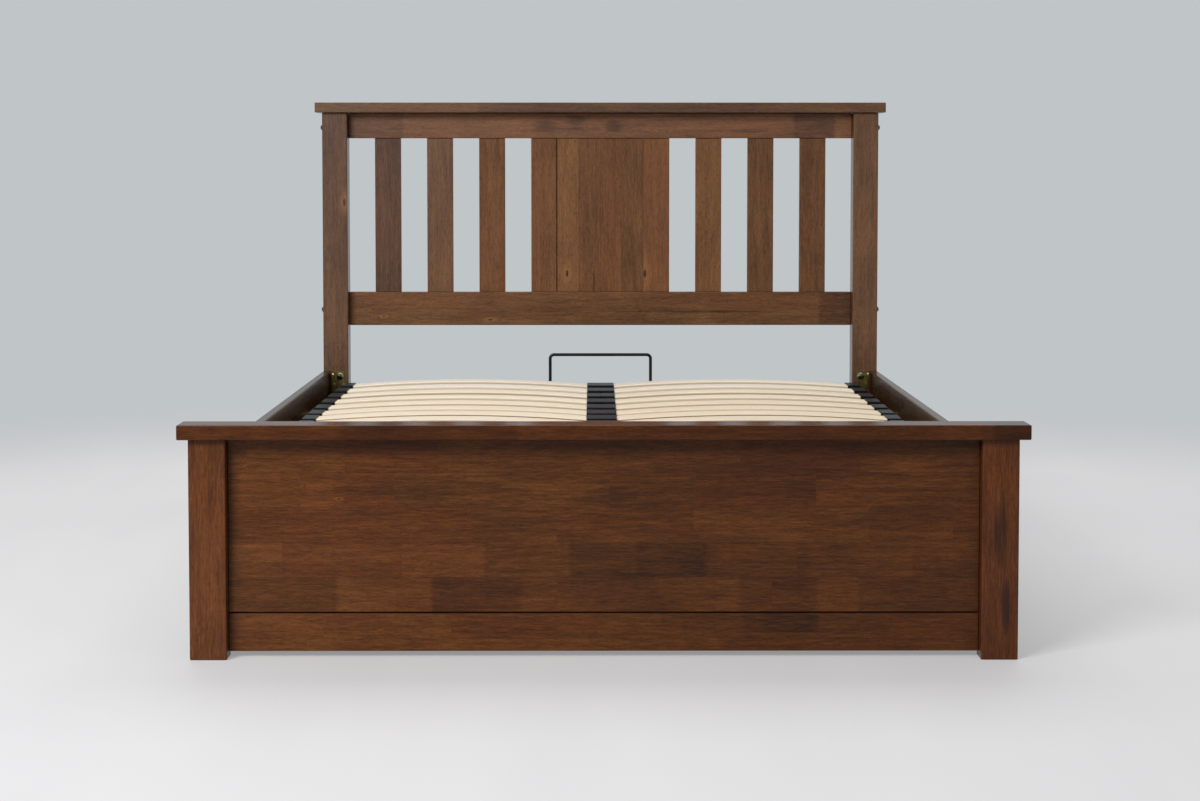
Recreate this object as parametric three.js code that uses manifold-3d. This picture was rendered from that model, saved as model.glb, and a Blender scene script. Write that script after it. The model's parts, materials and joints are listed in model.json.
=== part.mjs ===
import * as THREE from 'three';
import { mergeVertices } from 'three/addons/utils/BufferGeometryUtils.js';
import Module from 'manifold-3d';

// End-lift ottoman bed in dark stained hardwood, with a slatted headboard and a low footboard.
// Millimetres, +Z up, +Y towards the head end, the origin on the floor under the middle.

// Mattress that the bed is built round
const mattressWidth = 1350;
const mattressLength = 1900;
const mattressSideGap = 30;
const mattressEndGap = 13;

// Main heights above the floor
const headboardHeight = 1034;
const footboardHeight = 415;
const sideRailHeight = 334;
const skirtGap = 11;
const slatTopHeight = 304.5;

// Posts and caps
const postWidth = 65;
const headPostDepth = 60;
const footPostDepth = 45;
const capThickness = 26;
const capOverhang = 17;
const footCapBackOverhang = 5;

// Headboard filling
const headRailThickness = 25;
const topRailWidth = 66;
const lowerRailHeight = 451;
const lowerRailWidth = 87.5;
const headSlatWidth = 68;
const headSlatThickness = 15;
const headSlatsPerSide = 4;
const centrePanelWidth = 226;
const tenonLength = 10;
const headEndPanelThickness = 20;
const headEndPanelTop = 285;
const headEndPanelInset = 2;

// Footboard filling
const footPanelThickness = 22;
const footPanelSetback = 25;
const footRailWidth = 67;
const footShadowGap = 2.7;
const tongueThickness = 7;
const tongueLength = 9;

// Side rails, their ledges and the storage floor
const sideRailThickness = 20;
const ledgeWidth = 20;
const ledgeHeight = 25;
const baseBoardThickness = 6;
const centreBeamWidth = 40;
const centreBeamHeight = 22;
const beamFootLength = 60;
const beamFootShares = [0.06, 0.5, 0.94];
const battenThickness = 30;
const battenHeight = 25;
const battenEndGap = 60;

// Corner brackets on their packing blocks
const packerThickness = 7;
const packerLength = 50;
const bracketHeight = 70;
const bracketTopGap = 2;
const bracketLeg = 42;
const bracketFlange = 28;
const bracketSteel = 3;
const bracketBoltRadius = 6.5;
const bracketBoltHead = 5;
const bracketBoltHeight = 319;

// Steel lift frame
const tubeWidth = 30;
const tubeHeight = 30;
const tubeWall = 2;
const centreTubeWidth = 40;
const frameFootGap = 13;
const frameHeadGap = 19;
const holderOuterGap = 32;

// Sprung slats and their holders
const slatWidth = 68;
const slatThickness = 8;
const slatCamber = 14.6;
const slatEndDrop = 4.3;
const slatInsertion = 25;
const endHolderLength = 35;
const holderWidth = 76;
const holderHeight = 14.5;
const holderFloor = 2;
const holderPlugLength = 50;
const centreHolderLength = 68;
const firstRowGap = 42;
const lastRowGap = 77;
const rowPitchShares = [0.156, 0.156, 0.151, 0.151, 0.137, 0.125, 0.124];
const crownSteps = 8;

// Mattress retainer at the head end
const retainerRod = 8;
const retainerWidth = 262;
const retainerHeight = 381;
const retainerBend = 12;
const retainerSteps = 48;
const retainerSides = 4;

// Lift hinges and gas struts
const pivotSetback = 230;
const pivotDrop = 20;
const strutFootSlopeShare = 0.7;
const strutHeadRise = 36;
const platePivotRadius = 26;
const plateStudRadius = 14;
const plateHeelRadius = 16;
const plateHeelDrop = 60;
const plateHeelSetback = 40;
const plateFloorGap = 1.7;
const plateSteel = 3;
const armSteel = 4;
const armPivotRadius = 17;
const armStudRadius = 13;
const armCornerRadius = 6;
const armTail = 30;
const pinRadius = 6;
const pinHeadRadius = 10;
const pinHeadThickness = 3;
const studRadius = 4;
const strutRadius = 9;
const strutWall = 1.5;
const strutHeadGap = 24.5;
const strutMouth = 8;
const rodRadius = 4;
const rodFootGap = 25.5;
const pistonThickness = 8;
const eyeRadius = 10;
const eyeThickness = 8;
const neckStart = 7;
const strutPlaneShare = 0.5;

// Fits and finishing
const seatGap = 0.3;
const edgeRadius = 3;
const edgeBevel = 1.5;
const smallEdgeRadius = 1.6;
const smallEdgeBevel = 0.8;
const cutOverrun = 1;
const roundSegments = 20;
const cornerSegments = 1;
const outlineSegments = 4;
const weldTolerance = 1e-4;

// Places that follow from the sizes
const innerHalf = mattressWidth / 2 + mattressSideGap;
const outerHalf = innerHalf + sideRailThickness;
const postInner = outerHalf - postWidth;
const footPanelBack = footPanelSetback + footPanelThickness;
const headPostFront = footPanelBack + mattressLength + mattressEndGap;
const headPostBack = headPostFront + headPostDepth;
const footPostTop = footboardHeight - capThickness;
const headPostTop = headboardHeight - capThickness;
const ledgeTop = skirtGap + ledgeHeight;
const baseBoardTop = ledgeTop + seatGap + baseBoardThickness;
const tubeTop = slatTopHeight - holderHeight;
const tubeBottom = tubeTop - tubeHeight;
const frameFoot = footPanelBack + frameFootGap;
const frameHead = headPostFront - frameHeadGap;
const frameOuter = innerHalf - holderOuterGap;
const frameInner = frameOuter - tubeWidth;
const slatOuterEnd = frameOuter - endHolderLength;
const firstRow = frameHead - firstRowGap;
const slatRunHalf = (firstRow - frameFoot - lastRowGap) / 2;
const bracketTop = sideRailHeight - bracketTopGap;
const pivotY = headPostFront - pivotSetback;
const pivotHeight = tubeBottom - pivotDrop;
const overallLength = headPostBack + capOverhang + capOverhang;

const wasm = await Module();
wasm.setup();

const colours = {
  wood: new THREE.MeshStandardMaterial({ color: 0x5e3b29, roughness: 0.45, metalness: 0 }),
  birch: new THREE.MeshStandardMaterial({ color: 0xe6d9c4, roughness: 0.5, metalness: 0 }),
  board: new THREE.MeshStandardMaterial({ color: 0x8a7866, roughness: 0.8, metalness: 0 }),
  blackSteel: new THREE.MeshStandardMaterial({ color: 0x141414, roughness: 0.4, metalness: 0.4 }),
  zinc: new THREE.MeshStandardMaterial({ color: 0xb9a65c, roughness: 0.35, metalness: 0.9 }),
  chrome: new THREE.MeshStandardMaterial({ color: 0xcfd2d6, roughness: 0.15, metalness: 1 }),
};

// A solid from a closed three.js geometry, for joining and cutting
function solid(geometry) {
  const bare = geometry.clone();
  bare.deleteAttribute('normal');
  bare.deleteAttribute('uv');
  const merged = mergeVertices(bare, weldTolerance);
  const mesh = new wasm.Mesh({
    numProp: 3,
    vertProperties: new Float32Array(merged.attributes.position.array),
    triVerts: new Uint32Array(merged.index.array),
  });
  return new wasm.Manifold(mesh);
}

function geometryOf(manifold) {
  const mesh = manifold.getMesh();
  const geometry = new THREE.BufferGeometry();
  geometry.setAttribute('position', new THREE.BufferAttribute(mesh.vertProperties, 3));
  geometry.setIndex(new THREE.BufferAttribute(mesh.triVerts, 1));
  geometry.computeVertexNormals();
  return geometry;
}

function join(first, ...others) {
  return geometryOf(others.reduce((body, other) => body.add(solid(other)), solid(first)));
}

function cut(first, ...others) {
  return geometryOf(others.reduce((body, other) => body.subtract(solid(other)), solid(first)));
}

// Turns that carry a profile drawn in a plane, and its depth, to the bed's axes
const depthAlong = {
  x: new THREE.Matrix4().makeBasis(
    new THREE.Vector3(0, 1, 0), new THREE.Vector3(0, 0, 1), new THREE.Vector3(1, 0, 0)),
  y: new THREE.Matrix4().makeBasis(
    new THREE.Vector3(1, 0, 0), new THREE.Vector3(0, 0, 1), new THREE.Vector3(0, -1, 0)),
  z: new THREE.Matrix4(),
};

// A profile pushed along one axis, centred on the plane it is drawn in
function prism(shape, depth, axis, bevel = 0, curveSegments = cornerSegments) {
  const geometry = new THREE.ExtrudeGeometry(shape, {
    depth: depth - bevel - bevel,
    steps: 1,
    curveSegments,
    bevelEnabled: bevel > 0,
    bevelThickness: bevel,
    bevelSize: bevel,
    bevelOffset: -bevel,
    bevelSegments: 1,
  });
  geometry.translate(0, 0, bevel - depth / 2);
  return geometry.applyMatrix4(depthAlong[axis]);
}

function roundedRectangle(width, height, radius) {
  const x = width / 2 - radius;
  const y = height / 2 - radius;
  const shape = new THREE.Shape();
  shape.absarc(x, y, radius, 0, Math.PI / 2, false);
  shape.absarc(-x, y, radius, Math.PI / 2, Math.PI, false);
  shape.absarc(-x, -y, radius, Math.PI, Math.PI * 3 / 2, false);
  shape.absarc(x, -y, radius, Math.PI * 3 / 2, Math.PI * 2, false);
  return shape;
}

// A board between two corners, its long edges rounded along the grain and its ends bevelled
function board(low, high, grain, radius = edgeRadius, bevel = edgeBevel) {
  const size = high.map((value, axis) => value - low[axis]);
  const middle = high.map((value, axis) => (value + low[axis]) / 2);
  const sections = { x: [size[1], size[2], size[0]], y: [size[0], size[2], size[1]], z: size };
  const [width, height, length] = sections[grain];
  const geometry = prism(roundedRectangle(width, height, radius), length, grain, bevel);
  return geometry.translate(...middle);
}

// A plain block between two corners
function block(low, high) {
  const size = high.map((value, axis) => value - low[axis]);
  const middle = high.map((value, axis) => (value + low[axis]) / 2);
  return new THREE.BoxGeometry(...size).translate(...middle);
}

// A block's two corners, with every face moved out by a clearance
function grown(low, high, clearance) {
  return [low.map((value) => value - clearance), high.map((value) => value + clearance)];
}

// The rounded outline round circles [x, y, radius] that are listed anticlockwise
function hullOutline(circles) {
  const count = circles.length;
  const leaving = circles.map(([x, y, radius], index) => {
    const [nextX, nextY, nextRadius] = circles[(index + 1) % count];
    const distance = Math.hypot(nextX - x, nextY - y);
    const heading = Math.atan2(nextY - y, nextX - x);
    return heading - Math.acos((radius - nextRadius) / distance);
  });
  const shape = new THREE.Shape();
  circles.forEach(([x, y, radius], index) => {
    const start = leaving[(index + count - 1) % count];
    const sweep = THREE.MathUtils.euclideanModulo(leaving[index] - start, Math.PI * 2);
    shape.absarc(x, y, radius, start, start + sweep, false);
  });
  return shape;
}

// A turned piece on the local +Y axis from [radius, height] points that start and end on it
function turned(points, segments = roundSegments) {
  return new THREE.LatheGeometry(points.map(([r, h]) => new THREE.Vector2(r, h)), segments);
}

// A turned piece laid along the bed's width, pointing outwards on the given side
function turnedAcross(points, side, y, z) {
  return turned(points).rotateZ(-side * Math.PI / 2).translate(0, y, z);
}

const bed = new THREE.Group();
bed.position.y = capOverhang - overallLength / 2;

function place(name, geometry, material, parent = bed) {
  const mesh = new THREE.Mesh(geometry, material.clone());
  mesh.name = name;
  parent.add(mesh);
  return mesh;
}

const sides = [['left', -1], ['right', 1]];

// The two corners of a block on one side, from distances out from the bed's centre line
function onSide(side, inner, outer, lowY, highY, lowZ, highZ) {
  const [lowX, highX] = side > 0 ? [inner, outer] : [-outer, -inner];
  return [[lowX, lowY, lowZ], [highX, highY, highZ]];
}

function makeHeadboard() {
  const railBack = headPostBack;
  const railFront = railBack - headRailThickness;
  const railHalf = postInner - seatGap;
  const topRailBottom = headPostTop - topRailWidth;
  const lowerRailTop = lowerRailHeight + lowerRailWidth;
  const slatMiddle = (railFront + railBack) / 2;
  const slatFront = slatMiddle - headSlatThickness / 2;
  const slatBack = slatMiddle + headSlatThickness / 2;
  const slatLow = lowerRailTop - tenonLength;
  const slatHigh = topRailBottom + tenonLength;
  const panelEdge = centrePanelWidth / 2 + seatGap;
  const slatPitch = (postInner - panelEdge) / headSlatsPerSide;

  for (const [label, side] of sides) {
    const corners = onSide(side, postInner, outerHalf, headPostFront, headPostBack,
      0, headPostTop - seatGap);
    place(`headboard_post_${label}`, board(...corners, 'z'), colours.wood);
  }
  place('headboard_cap', board(
    [-outerHalf - capOverhang, headPostFront - capOverhang, headPostTop],
    [outerHalf + capOverhang, headPostBack + capOverhang, headboardHeight], 'x'), colours.wood);

  const pieces = [['headboard_centre_panel', -centrePanelWidth / 2, centrePanelWidth / 2]];
  for (const [, side] of sides) {
    for (let index = 0; index < headSlatsPerSide; index += 1) {
      const inner = panelEdge + index * slatPitch;
      const outer = inner + headSlatWidth;
      const number = side < 0 ? headSlatsPerSide - index : headSlatsPerSide + 1 + index;
      const [low, high] = side > 0 ? [inner, outer] : [-outer, -inner];
      pieces.push([`headboard_slat_${number}`, low, high]);
    }
  }
  const mortises = [];
  for (const [name, lowX, highX] of pieces) {
    const low = [lowX, slatFront, slatLow];
    const high = [highX, slatBack, slatHigh];
    place(name, board(low, high, 'z', smallEdgeRadius, smallEdgeBevel), colours.wood);
    mortises.push(block(...grown(low, high, seatGap)));
  }
  const topRail = board([-railHalf, railFront, topRailBottom],
    [railHalf, railBack, headPostTop - seatGap], 'x');
  place('headboard_top_rail', cut(topRail, ...mortises), colours.wood);
  const lowerRail = board([-railHalf, railFront, lowerRailHeight],
    [railHalf, railBack, lowerRailTop], 'x');
  place('headboard_lower_rail', cut(lowerRail, ...mortises), colours.wood);

  const panelBack = headPostBack - headEndPanelInset;
  place('head_end_panel', board([-railHalf, panelBack - headEndPanelThickness, skirtGap],
    [railHalf, panelBack, headEndPanelTop], 'x'), colours.wood);
}

function makeFootboard() {
  const panelHalf = postInner - seatGap;
  const railTop = skirtGap + footRailWidth;
  const tongueMiddle = (footPanelSetback + footPanelBack) / 2;
  const tongueFront = tongueMiddle - tongueThickness / 2;
  const tongueBack = tongueMiddle + tongueThickness / 2;
  const tongueTop = railTop + footShadowGap + tongueLength;

  for (const [label, side] of sides) {
    const corners = onSide(side, postInner, outerHalf, 0, footPostDepth, 0, footPostTop - seatGap);
    place(`footboard_post_${label}`, board(...corners, 'z'), colours.wood);
  }
  place('footboard_cap', board([-outerHalf - capOverhang, -capOverhang, footPostTop],
    [outerHalf + capOverhang, footPanelBack + footCapBackOverhang - edgeBevel, footboardHeight],
    'x'), colours.wood);

  const panel = board([-panelHalf, footPanelSetback, railTop + footShadowGap],
    [panelHalf, footPanelBack, footPostTop - seatGap], 'x', smallEdgeRadius, smallEdgeBevel);
  const groove = block(
    [-panelHalf - cutOverrun, tongueFront - seatGap, railTop + footShadowGap - cutOverrun],
    [panelHalf + cutOverrun, tongueBack + seatGap, tongueTop + seatGap]);
  place('footboard_panel', cut(panel, groove), colours.wood);

  const rail = board([-panelHalf, footPanelSetback, skirtGap],
    [panelHalf, footPanelBack, railTop], 'x', smallEdgeRadius, smallEdgeBevel);
  const tongueHalf = panelHalf - edgeRadius;
  const tongue = block([-tongueHalf, tongueFront, railTop - cutOverrun],
    [tongueHalf, tongueBack, tongueTop]);
  place('footboard_bottom_rail', join(rail, tongue), colours.wood);

  const battenHalf = postInner - battenEndGap;
  place('foot_rest_batten', board(
    [-battenHalf, footPanelBack + seatGap, tubeBottom - seatGap - battenHeight],
    [battenHalf, footPanelBack + battenThickness, tubeBottom - seatGap], 'x'), colours.wood);
}

function makeSideRails() {
  const start = footPostDepth + seatGap;
  const end = headPostFront - seatGap;
  const packerLow = bracketTop - bracketHeight;
  for (const [label, side] of sides) {
    const rail = board(...onSide(side, innerHalf, outerHalf, start, end,
      skirtGap, sideRailHeight), 'y');
    const inner = innerHalf - ledgeWidth;
    const ledge = block(...onSide(side, inner, innerHalf + cutOverrun,
      footPanelBack + seatGap, end, skirtGap + edgeRadius, ledgeTop));
    const packerInner = innerHalf - packerThickness;
    const footPacker = block(...onSide(side, packerInner, innerHalf + cutOverrun,
      start + seatGap, start + packerLength, packerLow, bracketTop));
    const headPacker = block(...onSide(side, packerInner, innerHalf + cutOverrun,
      end - packerLength, end - seatGap, packerLow, bracketTop));
    place(`side_rail_${label}`, join(rail, ledge, footPacker, headPacker), colours.wood);
  }
}

function makeCornerBrackets() {
  const legOuter = innerHalf - packerThickness - seatGap;
  const legInner = legOuter - bracketSteel;
  const flangeInner = legOuter - bracketFlange;
  const boltX = (flangeInner + legInner) / 2;
  const middle = bracketTop - bracketHeight / 2;
  const ends = [['foot', footPostDepth + seatGap, 1], ['head', headPostFront - seatGap, -1]];
  for (const [endLabel, face, inward] of ends) {
    for (const [label, side] of sides) {
      const outline = new THREE.Shape([
        [flangeInner, 0], [legOuter, 0], [legOuter, bracketLeg], [legInner, bracketLeg],
        [legInner, bracketSteel], [flangeInner, bracketSteel],
      ].map(([x, y]) => new THREE.Vector2(side * x, face + inward * y)));
      const angle = prism(outline, bracketHeight, 'z').translate(0, 0, middle);
      const bolt = turned([[0, 0], [bracketBoltRadius, 0],
        [bracketBoltRadius, bracketSteel + bracketBoltHead / 2],
        [bracketBoltRadius / 2, bracketSteel + bracketBoltHead],
        [0, bracketSteel + bracketBoltHead]]);
      bolt.rotateX(inward > 0 ? 0 : Math.PI).translate(side * boltX, face, bracketBoltHeight);
      place(`corner_bracket_${endLabel}_${label}`, join(angle, bolt), colours.zinc);
    }
  }
}

function makeStorageFloor() {
  const low = ledgeTop + seatGap;
  const front = footPanelBack + seatGap;
  const back = headPostBack - headEndPanelInset - headEndPanelThickness - seatGap;
  const postFace = headPostFront - seatGap;
  for (const [label, side] of sides) {
    const outline = new THREE.Shape([
      [seatGap, front], [innerHalf - seatGap, front], [innerHalf - seatGap, postFace],
      [postInner - seatGap, postFace], [postInner - seatGap, back], [seatGap, back],
    ].map(([x, y]) => new THREE.Vector2(side * x, y)));
    const panel = prism(outline, baseBoardThickness, 'z');
    panel.translate(0, 0, low + baseBoardThickness / 2);
    place(`base_board_${label}`, panel, colours.board);
  }
  const half = centreBeamWidth / 2;
  const beam = block([-half, front, ledgeTop - centreBeamHeight], [half, back, ledgeTop]);
  const feet = beamFootShares.map((share) => {
    const middle = front + share * (back - front);
    return block([-half, middle - beamFootLength / 2, 0],
      [half, middle + beamFootLength / 2, ledgeTop - cutOverrun]);
  });
  place('centre_support_beam', join(beam, ...feet), colours.wood);
}

// A straight square tube with open ends
function tube(width, height, length, axis) {
  const shape = roundedRectangle(width, height, smallEdgeRadius);
  const bore = new THREE.Path();
  const x = width / 2 - tubeWall;
  const y = height / 2 - tubeWall;
  bore.moveTo(-x, -y).lineTo(-x, y).lineTo(x, y).lineTo(x, -y).closePath();
  shape.holes.push(bore);
  return prism(shape, length, axis);
}

// Height of a slat's crown above its ends, at a share of its length from the middle
function crown(share) {
  return slatCamber * (1 - share * share);
}

// One bent slat on the right side, its faces moved out by a clearance
function bentSlat(clearance) {
  const innerEnd = centreHolderLength / 2 - slatInsertion;
  const outerEnd = slatOuterEnd + slatInsertion;
  const half = (outerEnd - innerEnd) / 2;
  const middle = (outerEnd + innerEnd) / 2;
  const reach = half + clearance;
  const shape = new THREE.Shape();
  const top = slatTopHeight - slatEndDrop + clearance;
  const bottom = top - slatThickness - clearance - clearance;
  const stations = Array.from({ length: crownSteps + 1 }, (_, i) => i / crownSteps * 2 - 1);
  shape.moveTo(middle - reach, bottom);
  stations.slice(1).forEach((s) => shape.lineTo(middle + s * reach, bottom + crown(s)));
  stations.reverse().forEach((s) => shape.lineTo(middle + s * reach, top + crown(s)));
  shape.closePath();
  return prism(shape, slatWidth + clearance + clearance, 'y');
}

function rowPlaces() {
  const centre = firstRow - slatRunHalf;
  const headHalf = [firstRow];
  rowPitchShares.forEach((share) => {
    headHalf.push(headHalf[headHalf.length - 1] - share * slatRunHalf);
  });
  headHalf[headHalf.length - 1] = centre;
  const footHalf = headHalf.slice(0, -1).reverse().map((y) => centre + centre - y);
  return [...headHalf, ...footHalf];
}

function makeSlatRows(parent) {
  const holderBottom = tubeTop + seatGap;
  const half = centreHolderLength / 2;
  const right = bentSlat(0);
  const left = bentSlat(0).rotateZ(Math.PI);
  const holder = board([-half, -holderWidth / 2, holderBottom],
    [half, holderWidth / 2, slatTopHeight], 'y', smallEdgeRadius, smallEdgeBevel);
  const row = join(holder, right, left);
  rowPlaces().forEach((y, index) => {
    const label = String(index + 1).padStart(2, '0');
    place(`slat_row_${label}`, row.clone(), colours.birch, parent).position.y = y;
  });
}

function makeLiftFrame(parent) {
  const length = frameHead - frameFoot;
  const middle = (frameHead + frameFoot) / 2;
  const height = (tubeTop + tubeBottom) / 2;
  const pocket = bentSlat(seatGap);
  for (const [label, side] of sides) {
    const sideTube = tube(tubeWidth, tubeHeight, length, 'y');
    sideTube.translate(side * (frameOuter + frameInner) / 2, middle, height);
    const shell = board(...onSide(side, slatOuterEnd, frameOuter,
      -holderWidth / 2, holderWidth / 2, tubeTop + seatGap, slatTopHeight),
      'y', smallEdgeRadius, smallEdgeBevel);
    const plug = block(...onSide(side, frameInner + edgeRadius, frameOuter - edgeRadius,
      -holderPlugLength / 2, holderPlugLength / 2,
      tubeTop - tubeWall / 2, tubeTop + holderFloor / 2));
    const sidePocket = side > 0 ? pocket.clone() : pocket.clone().rotateZ(Math.PI);
    const holder = join(cut(shell, sidePocket), plug);
    const holders = rowPlaces().map((y) => holder.clone().translate(0, y, 0));
    place(`lift_frame_side_${label}`, join(sideTube, ...holders), colours.blackSteel, parent);
  }
  const barLength = frameInner + frameInner - seatGap - seatGap;
  for (const [label, edge, inward] of [['foot', frameFoot, 1], ['head', frameHead, -1]]) {
    const bar = tube(tubeWidth, tubeHeight, barLength, 'x');
    bar.translate(0, edge + inward * tubeWidth / 2, height);
    place(`lift_frame_${label}_bar`, bar, colours.blackSteel, parent);
  }
  const centreLength = length - tubeWidth - tubeWidth - seatGap - seatGap;
  const centreTube = tube(centreTubeWidth, tubeHeight, centreLength, 'y');
  centreTube.translate(0, middle, height);
  place('lift_frame_centre_rail', centreTube, colours.blackSteel, parent);
}

function makeRetainer(parent) {
  const y = frameHead + seatGap + retainerRod / 2;
  const half = retainerWidth / 2;
  const top = retainerHeight - retainerRod / 2;
  const foot = tubeBottom + edgeRadius;
  const corner = (x, z) => new THREE.Vector3(x, y, z);
  const path = new THREE.CurvePath();
  const bendTop = top - retainerBend;
  const bendX = half - retainerBend;
  const turn = (fromX, fromZ, viaX, viaZ, toX, toZ) => new THREE.QuadraticBezierCurve3(
    corner(fromX, fromZ), corner(viaX, viaZ), corner(toX, toZ));
  path.add(new THREE.LineCurve3(corner(-half, foot), corner(-half, bendTop)));
  path.add(turn(-half, bendTop, -half, top, -bendX, top));
  path.add(new THREE.LineCurve3(corner(-bendX, top), corner(bendX, top)));
  path.add(turn(bendX, top, half, top, half, bendTop));
  path.add(new THREE.LineCurve3(corner(half, bendTop), corner(half, foot)));
  const section = new THREE.Shape();
  section.absarc(0, 0, retainerRod / 2, 0, Math.PI * 2, false);
  const rod = new THREE.ExtrudeGeometry(section, {
    steps: retainerSteps, curveSegments: retainerSides, extrudePath: path, bevelEnabled: false,
  });
  place('mattress_retainer', rod, colours.blackSteel, parent);
}

// Pivot points of one strut, as distances along the bed and above the floor
const strutFootZ = baseBoardTop + plateFloorGap + plateStudRadius;
const strutFootDrop = pivotHeight - strutFootZ;
const strutReach = strutFootDrop / strutFootSlopeShare;
const strutFootY = pivotY - Math.sqrt(strutReach ** 2 - strutFootDrop ** 2);
const strutHeadY = pivotY - Math.sqrt(strutReach ** 2 - strutHeadRise ** 2);
const strutHeadZ = pivotHeight + strutHeadRise;
const strutClosed = Math.hypot(strutHeadY - strutFootY, strutHeadZ - strutFootZ);
const strutBodyLength = strutClosed - strutHeadGap;
const rodLength = strutClosed - rodFootGap;
const armOuter = frameOuter + seatGap + armSteel;
const plateInner = innerHalf - seatGap - plateSteel;
const strutPlane = armOuter + strutPlaneShare * (plateInner - armOuter);

function makeHinge(label, side, parent) {
  const plateMiddle = side * (plateInner + plateSteel / 2);
  const plate = prism(hullOutline([
    [strutFootY, strutFootZ, plateStudRadius],
    [pivotY + plateHeelSetback, pivotHeight - plateHeelDrop, plateHeelRadius],
    [pivotY, pivotHeight, platePivotRadius],
  ]), plateSteel, 'x', 0, outlineSegments).translate(plateMiddle, 0, 0);
  const root = plateInner + plateSteel / 2;
  const armInner = armOuter - armSteel;
  const pinHead = armInner - seatGap;
  const pin = turnedAcross([[0, pinHead - pinHeadThickness],
    [pinHeadRadius, pinHead - pinHeadThickness], [pinHeadRadius, pinHead], [pinRadius, pinHead],
    [pinRadius, armOuter + seatGap], [pinHeadRadius, armOuter + seatGap], [pinHeadRadius, root],
    [0, root]], side, pivotY, pivotHeight);
  const studEnd = strutPlane - eyeThickness / 2 - seatGap;
  const stud = turnedAcross([[0, studEnd], [studRadius, studEnd], [studRadius, root], [0, root]],
    side, strutFootY, strutFootZ);
  place(`hinge_plate_${label}`, join(plate, pin, stud), colours.zinc);

  const tailZ = tubeTop - armCornerRadius - edgeRadius;
  const arm = prism(hullOutline([
    [strutHeadY, strutHeadZ, armStudRadius],
    [pivotY, pivotHeight, armPivotRadius],
    [pivotY + armTail, tailZ, armCornerRadius],
  ]), armSteel, 'x', 0, outlineSegments).translate(side * (armOuter - armSteel / 2), 0, 0);
  const bore = turnedAcross([[0, armInner - cutOverrun],
    [pinRadius + seatGap, armInner - cutOverrun], [pinRadius + seatGap, armOuter + cutOverrun],
    [0, armOuter + cutOverrun]], side, pivotY, pivotHeight);
  const headStudEnd = strutPlane + eyeThickness / 2 + seatGap;
  const headStudRoot = armOuter - armSteel / 2;
  const headStud = turnedAcross([[0, headStudRoot], [studRadius, headStudRoot],
    [studRadius, headStudEnd], [0, headStudEnd]], side, strutHeadY, strutHeadZ);
  place(`lift_arm_${label}`, join(cut(arm, bore), headStud), colours.blackSteel, parent);
}

// A round eye across the strut at its pivot, bored for a stud
function eyed(body) {
  const eye = turned([[0, -eyeThickness / 2], [eyeRadius, -eyeThickness / 2],
    [eyeRadius, eyeThickness / 2], [0, eyeThickness / 2]]).rotateZ(Math.PI / 2);
  const bore = turned([[0, -eyeThickness], [studRadius + seatGap, -eyeThickness],
    [studRadius + seatGap, eyeThickness], [0, eyeThickness]]).rotateZ(Math.PI / 2);
  return cut(join(body, eye), bore);
}

function makeStrut(label, side, parent) {
  const tilt = Math.atan2(strutHeadZ - strutFootZ, strutHeadY - strutFootY);
  const boreRadius = strutRadius - strutWall;
  const boreStart = eyeRadius + studRadius + strutRadius;
  const mouthRadius = rodRadius + seatGap;
  const cylinder = turned([[0, neckStart], [rodRadius, neckStart], [rodRadius, eyeRadius + studRadius],
    [strutRadius, eyeRadius + studRadius], [strutRadius, strutBodyLength],
    [mouthRadius, strutBodyLength], [mouthRadius, strutBodyLength - strutMouth],
    [boreRadius, strutBodyLength - strutMouth], [boreRadius, boreStart], [0, boreStart]]);
  const body = place(`strut_cylinder_${label}`, eyed(cylinder), colours.blackSteel);
  body.position.set(side * strutPlane, strutFootY, strutFootZ);
  body.rotation.x = tilt;

  const pistonRadius = boreRadius - seatGap;
  const rodShape = turned([[0, neckStart], [eyeRadius - edgeRadius, neckStart],
    [eyeRadius - edgeRadius, eyeRadius + strutRadius], [rodRadius, eyeRadius + strutRadius],
    [rodRadius, rodLength - pistonThickness], [pistonRadius, rodLength - pistonThickness],
    [pistonRadius, rodLength], [0, rodLength]]);
  const rod = place(`strut_rod_${label}`, eyed(rodShape), colours.chrome, parent);
  rod.position.set(side * strutPlane, strutHeadY, strutHeadZ);
  rod.rotation.x = tilt + Math.PI;
}

makeHeadboard();
makeFootboard();
makeSideRails();
makeCornerBrackets();
makeStorageFloor();

const platform = new THREE.Group();
bed.add(platform);
makeSlatRows(platform);
makeLiftFrame(platform);
makeRetainer(platform);
for (const [label, side] of sides) {
  makeHinge(label, side, platform);
  makeStrut(label, side, platform);
}

export default bed;
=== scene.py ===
import json
import math
from functools import partialmethod

import bmesh
import bpy
from bmesh.types import BMFace, BMVert
from mathutils import Matrix, Vector


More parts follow.
